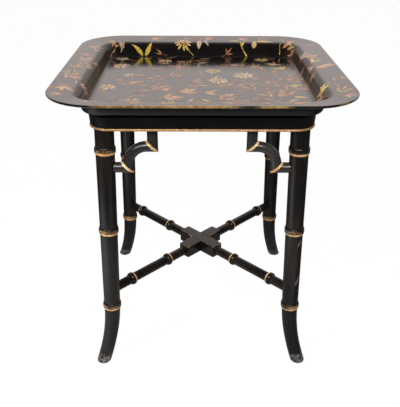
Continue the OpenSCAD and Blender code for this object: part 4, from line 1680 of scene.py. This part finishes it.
@dataclass
class Stretcher:
    """A stretcher: two turned arms with rings, and a square middle that is halved over the other one."""

    form: StandForm
    upper: bool
    arm_r: float = 10.0
    ring_proud: float = 3.5
    ring_half: float = 6.0
    rings: tuple[float, float] = (107.0, 212.0)
    square: float = 28.0
    square_l: float = 110.0
    ease: float = 1.1
    around: int = 40

    def arm(self, toward_back: bool) -> Skins:
        """One arm, from inside the square middle into the leg.

        Args:
            toward_back: True for the arm that runs to a back leg.

        Returns:
            Its skin along +X from the crossing.
        """
        height = self.form.stretcher_z
        leg_r = float(self.form.leg_r(np.array(height)))
        end = math.hypot(self.form.leg_x(height), self.form.leg_y(height)) - leg_r
        spans = [np.linspace(self.square_l / 2 - 12.0, end, 50)]
        spans += [ring + np.linspace(-9.0, 9.0, 55) for ring in self.rings]
        run = np.unique(np.concatenate(spans).round(3))
        plain = np.full_like(run, self.arm_r)
        radius = ring_profile(plain, run, self.rings, self.ring_half, self.ring_proud, (0.3, 0.7, 0.4))
        angle = turn_angles(self.around)
        across, level = radius[:, None] * np.cos(angle), radius[:, None] * np.sin(angle)
        points = np.stack([np.broadcast_to(run[:, None], across.shape), across, level], -1)
        hollow = leg_r - np.sqrt(leg_r ** 2 - (self.arm_r * np.cos(angle)) ** 2)
        points = np.concatenate([points, points[-1:] + np.stack([hollow + 0.3, 0 * angle, 0 * angle], -1)])
        # The sound gilt line lies on only the side of each ring that faces the back, where the gilding
        # catches the bright light behind: a painted highlight. The faint gilt round the whole bulge is the
        # real worn gilding.
        side = 1.0 if toward_back else -1.0
        gilt = np.zeros(points.shape[:2])
        for ring in self.rings:
            along = points[..., 0] - ring
            line, bulge = band(side * along, 1.8, 5.8, 0.4), 0.24 * band(along, -4.5, 4.5, 1.0)
            gilt = np.maximum.reduce([gilt, line, bulge])
        return Skins(points, {"gilt": gilt})

    def middle(self) -> Skins:
        """The square middle with eased edges. Between the other stretcher's cheeks only half its depth stays.

        Round a row the section is a rectangle with corners of radius ease. Its top, or bottom, stands half
        the square's side from the axis outside the halving, and on the axis inside it.

        Returns:
            Its skin along +X.
        """
        half, end, ease = self.square / 2, self.square_l / 2, self.ease
        turn = np.radians([0.0, 30.0, 60.0, 90.0])
        plain = np.linspace(half + 4, end - 3.2, 10)
        plain = np.concatenate([[half + 0.02, half + 1.6], plain, [end - 2.2, end - 1.7, end - 1.4]])
        outer = np.concatenate([plain, end - ease + ease * np.sin(turn)])
        eased = np.concatenate([np.zeros(len(plain)), ease * (1 - np.cos(turn))])
        run = np.concatenate([-outer[::-1], [-half, 0.0, half], outer])
        inset = np.concatenate([eased[::-1], np.zeros(3), eased])
        halved = np.abs(run) <= half + 0.001
        top = np.where(halved & (not self.upper), 0.0, half) - inset
        bottom = np.where(halved & self.upper, 0.0, -half) + inset
        wide = half - inset
        corner = arc_points((0.0, 0.0), ease, 0, 90, 4)
        columns = []
        for sy, sz in ((1, 1), (-1, 1), (-1, -1), (1, -1)):
            level = top if sz > 0 else bottom
            arc = corner if sy * sz > 0 else corner[::-1]
            for cy, cz in arc:
                columns.append(np.stack([run, sy * (wide - ease + cy), level + sz * (cz - ease)], -1))
            if sy * sz > 0:
                for share in (1.0, 0.97, -0.97, -1.0):
                    reach = wide - ease - (1.5 if abs(share) == 1 else 2.0)
                    columns.append(np.stack([run, sy * math.copysign(1, share) * reach, level], -1))
            else:
                for share in (0.25, 0.5, 0.75):
                    down = share if sy < 0 else 1 - share
                    columns.append(np.stack([run, sy * wide, top + (bottom - top) * down], -1))
        points = np.stack(columns, 1)
        return Skins(points, {"gilt": self.edge_gilt(points, half)})

    def edge_gilt(self, points: Array, half: float) -> Array:
        """Worn gilt lines along the upper edges: strong near an edge of the top face, outside the halving."""
        run, across, level = (np.abs(points[..., 0]), np.abs(points[..., 1]), points[..., 2])
        on_top = smooth_step(level, half - 2.4, half - 1.2)
        side_line = smooth_step(across, half - 2.6, half - 1.6) * smooth_step(run, half - 0.01, half + 0.01)
        end_line = smooth_step(run, self.square_l / 2 - 2.6, self.square_l / 2 - 1.6)
        return 0.42 * on_top * np.maximum(side_line, end_line)

    def build(self, finishes: Finishes) -> bpy.types.Object:
        """Lays the stretcher along its diagonal.

        Args:
            finishes: The finishes.

        Returns:
            The stretcher.
        """
        form = self.form
        angle = math.atan2(form.leg_y(form.stretcher_z), form.leg_x(form.stretcher_z))
        angle = -angle if self.upper else angle
        cos, sin = math.cos(angle), math.sin(angle)
        turn = np.array([[cos, -sin, 0.0], [sin, cos, 0.0], [0.0, 0.0, 1.0]])
        flip = np.array([-1.0, -1.0, 1.0])
        batches = [self.arm(not self.upper), self.arm(self.upper), self.middle()]
        batches[1].points = batches[1].points * flip
        for skins in batches:
            skins.points = skins.points @ turn.T + [0.0, 0.0, form.stretcher_z]
        kind = "upper" if self.upper else "lower"
        return make_stand_piece(f"turned_stretcher_{kind}", batches, finishes.stand, f"stretcher_{kind}")


@dataclass
class Apron:
    """The apron's gilt bead, and the finish of its rails, corner blocks and panel."""

    form: StandForm

    def bead(self, side: str) -> Skins:
        """One side's bead, from the middle of one corner to the middle of the next.

        The path is an eighth turn, a straight and an eighth turn. The section is the part of a circle that
        stands out of the apron's face, closed flat on the face.

        Args:
            side: front, back, left or right.

        Returns:
            Its skin.
        """
        form = self.form
        half_x = form.apron_w / 2 - form.apron_corner_r
        half_y = form.apron_d / 2 - form.apron_corner_r
        along, out = (half_y, half_x) if side in ("left", "right") else (half_x, half_y)
        angle = np.concatenate([np.linspace(-45, 0, 14), np.zeros(40), np.linspace(0, 45, 14)])
        angle = np.radians(angle)
        straight = np.linspace(-along, along, 42)[1:-1]
        anchor_y = np.concatenate([np.full(14, -along), straight, np.full(14, along)])
        radius = math.hypot(form.bead_h / 2, form.bead_sunk)
        tip = math.degrees(math.asin(form.bead_h / 2 / radius))
        middle = (form.apron_corner_r - form.bead_sunk, form.apron_z + form.bead_h / 2)
        section = arc_points(middle, radius, -tip, tip, 15)
        back = form.apron_corner_r - 0.2
        section = np.concatenate([section, [[back, middle[1] + 1.2], [back, middle[1] - 1.2]]])
        x = out + section[None, :, 0] * np.cos(angle)[:, None]
        y = anchor_y[:, None] + section[None, :, 0] * np.sin(angle)[:, None]
        z = np.broadcast_to(section[None, :, 1], x.shape)
        spin = math.radians({"right": 0, "back": 90, "left": 180, "front": 270}[side])
        world_x = x * math.cos(spin) - y * math.sin(spin)
        world_y = x * math.sin(spin) + y * math.cos(spin)
        points = np.stack([world_x, world_y, z], -1)
        return Skins(points, {"gilt": np.full(x.shape, 0.95)})

    def build(self, finishes: Finishes) -> None:
        """Makes the beads and dresses the frame's own solids.

        Args:
            finishes: The finishes.
        """
        for side in ("front", "back", "left", "right"):
            node = f"gilt_bead_{side}"
            make_stand_piece(f"bead_{side}", [self.bead(side)], finishes.bead, node)
        for name, node in frame["nodes"].items():
            if node.hide_render:
                continue
            finish = finishes.apron if name.startswith(("apron_rail", "corner_block")) else finishes.wood
            node.data.materials.clear()
            node.data.materials.append(finish)
            LOG.info("%s keeps its own shape, finish %s", name, finish.name)


# ---- studio ----


@dataclass
class Studio:
    """The pale floor, the soft light and the camera."""

    lens: float = 51.98
    camera_at: tuple[float, float, float] = (-0.01415, -1.19318, 0.89301)
    pitch: float = 27.6
    yaw: float = 0.598
    roll: float = 0.368

    def camera(self) -> None:
        """Puts the camera in place. The roll turns the right and up that its yaw and pitch give."""
        pitch, yaw, roll = (math.radians(a) for a in (self.pitch, self.yaw, self.roll))
        forward = Vector((math.sin(yaw) * math.cos(pitch), math.cos(yaw) * math.cos(pitch), -math.sin(pitch)))
        right = Vector((math.cos(yaw), -math.sin(yaw), 0.0))
        up = right.cross(forward)
        x_axis = right * math.cos(roll) + up * math.sin(roll)
        y_axis = up * math.cos(roll) - right * math.sin(roll)
        data = bpy.data.cameras.new("studio_camera")
        data.lens = self.lens
        data.sensor_width = 36.0
        data.sensor_fit = "AUTO"
        data.clip_start = 0.01
        camera = bpy.data.objects.new("studio_camera", data)
        rotation = Matrix((x_axis, y_axis, -forward)).transposed().to_4x4()
        camera.matrix_world = Matrix.Translation(self.camera_at) @ rotation
        bpy.context.scene.collection.objects.link(camera)
        bpy.context.scene.camera = camera

    def floor(self) -> None:
        """A pale floor, evenly bright to the camera, that takes only a faint shadow and glows in a painted
        pool of light to all other rays.
        """
        size, level = 6.0, -0.0005
        mesh = bpy.data.meshes.new("studio_floor")
        corners = [(x * size, y * size, level) for x, y in ((-1, -1), (1, -1), (1, 1), (-1, 1))]
        mesh.from_pydata(corners, [], [(0, 1, 2, 3)])
        material, sheet, shader = new_material("studio_floor_paper")
        place = sheet.place()
        grain = sheet.grade(sheet.noise(place, 300.0), 0.3, 0.7, 0.07, 0.08)
        paper = sheet.add("ShaderNodeCombineColor", {0: grain, 1: grain, 2: grain}).outputs[0]
        seen = sheet.add("ShaderNodeLightPath").outputs["Is Camera Ray"]
        # Painted pool of light: to all rays but the camera's the floor glows in a blob to the front left, a
        # strip in front and a patch under the table, which light the stand and shine in it.
        wanted = {0: place, 1: (-0.66, -0.44, 0.0)}
        away = sheet.add("ShaderNodeVectorMath", wanted, operation="DISTANCE").outputs["Value"]
        blob = sheet.grade(away, 0.08, 0.62, 0.85, 0.0)
        x, y, _ = sheet.add("ShaderNodeSeparateXYZ", {0: place}).outputs
        wide = sheet.grade(sheet.math("ABSOLUTE", x), 0.3, 0.95, 0.34, 0.04)
        front = sheet.times(sheet.near(y, -0.62, 0.14, 0.30), wide)
        under = sheet.times(sheet.near(x, 0.0, 0.26, 0.42, 0.20), sheet.near(y, -0.1, 0.25, 0.45))
        painted_glow = sheet.plus(sheet.plus(blob, 0.035), sheet.math("MAXIMUM", under, front))
        wanted = {
            "Base Color": paper,
            "Roughness": 0.9,
            "Specular IOR Level": 0.0,
            "Emission Strength": sheet.between(seen, painted_glow, 0.96),
            "Emission Color": (1.0, 1.0, 1.0, 1.0),
        }
        sheet.feed(shader, wanted)
        mesh.materials.append(material)
        floor = bpy.data.objects.new("studio_floor", mesh)
        bpy.context.scene.collection.objects.link(floor)

    def sky(self) -> None:
        """White to the eye. As light it is bright behind and above the object, and dim in front of it."""
        world = bpy.data.worlds.new("studio_sky")
        bpy.context.scene.world = world
        world.use_nodes = True
        sheet = NodeSheet(world.node_tree)
        sheet.tree.nodes.clear()
        way = sheet.add("ShaderNodeTexCoord").outputs["Generated"]
        _, back, up = sheet.add("ShaderNodeSeparateXYZ", {0: way}).outputs
        behind = sheet.grade(back, 0.0, 0.8, 0.06, 0.90)
        above = sheet.grade(up, 0.12, 0.42, 0.62, 1.0)
        seen = sheet.add("ShaderNodeLightPath").outputs["Is Camera Ray"]
        strength = sheet.between(seen, sheet.times(behind, above), 1.0)
        tint = sheet.blend(seen, (1.0, 0.91, 0.88, 1.0), (1.0, 1.0, 1.0, 1.0))
        shine = sheet.add("ShaderNodeBackground", {"Color": tint, "Strength": strength})
        sheet.add("ShaderNodeOutputWorld", {0: shine.outputs[0]})

    def lamp(
        self, name: str, at: tuple[float, float, float], size: float, power: float, colour: Colour,
    ) -> bpy.types.Object:
        """A square soft box that faces the object. It gives light but no glint.

        Args:
            name: The lamp's name.
            at: Its place in metres.
            size: Its side in metres.
            power: Its power in watts.
            colour: Its colour.

        Returns:
            The lamp.
        """
        data = bpy.data.lights.new(name, "AREA")
        data.energy = power
        data.size = size
        data.color = colour[:3]
        lamp = bpy.data.objects.new(name, data)
        lamp.visible_glossy = False
        lamp.location = at
        lamp.rotation_euler = (Vector((0.0, 0.0, 0.4)) - Vector(at)).to_track_quat("-Z", "Y").to_euler()
        bpy.context.scene.collection.objects.link(lamp)
        return lamp

    def glints(self, pieces: list[bpy.types.Object]) -> None:
        """Two small lamps that glint on the stand alone, so that no bar shows in the tray's well.

        Args:
            pieces: The stand's pieces.
        """
        lit = bpy.data.collections.new("stand_glints")
        for piece in pieces:
            lit.objects.link(piece)
        for name, at, long, power in (
            ("glint_front", (-0.1, -1.8, 1.9), 1.7, 36.0), ("glint_left", (-1.2, -1.4, 1.7), 0.4, 8.0),
        ):
            lamp = self.lamp(name, at, long, power, (1.0, 0.98, 0.95, 1.0))
            lamp.data.shape = "RECTANGLE"
            lamp.data.size_y = 0.6
            lamp.visible_glossy = True
            lamp.light_linking.receiver_collection = lit

    def build(self) -> None:
        """Sets everything up."""
        self.camera()
        self.floor()
        self.sky()
        self.lamp("soft_box_left", (-1.5, -1.3, 2.3), 0.7, 24.0, (1.0, 0.97, 0.93, 1.0))
        self.lamp("soft_box_right", (1.9, -0.9, 1.6), 0.7, 10.0, (0.98, 0.98, 1.0, 1.0))
        self.lamp("soft_box_front", (0.1, -2.0, 1.9), 0.7, 20.0, (1.0, 0.98, 0.95, 1.0))
        bpy.context.scene.view_settings.view_transform = "Standard"
        bpy.context.scene.view_settings.look = "None"


def main() -> None:
    """Builds the object piece by piece."""
    logging.basicConfig(level=logging.INFO, format="%(name)s: %(message)s")
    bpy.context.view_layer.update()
    studio = Studio()
    studio.build()
    finishes = Finishes.build()
    tray_form = TrayForm()
    Tray(tray_form).build(finishes)
    Painting(tray_form).build(finishes)
    stand_form = StandForm()
    for corner in Corner:
        TurnedLeg(stand_form).build(corner, finishes)
        SabreFoot(stand_form).build(corner, finishes)
        CaneBracket(stand_form).build(corner, finishes)
    for upper in (False, True):
        Stretcher(stand_form, upper).build(finishes)
    Apron(stand_form).build(finishes)
    heads = ("turned_", "sabre_", "bamboo_", "bead_")
    studio.glints([piece for piece in bpy.data.objects if piece.name.startswith(heads)])


if __name__ == "__main__":
    main()
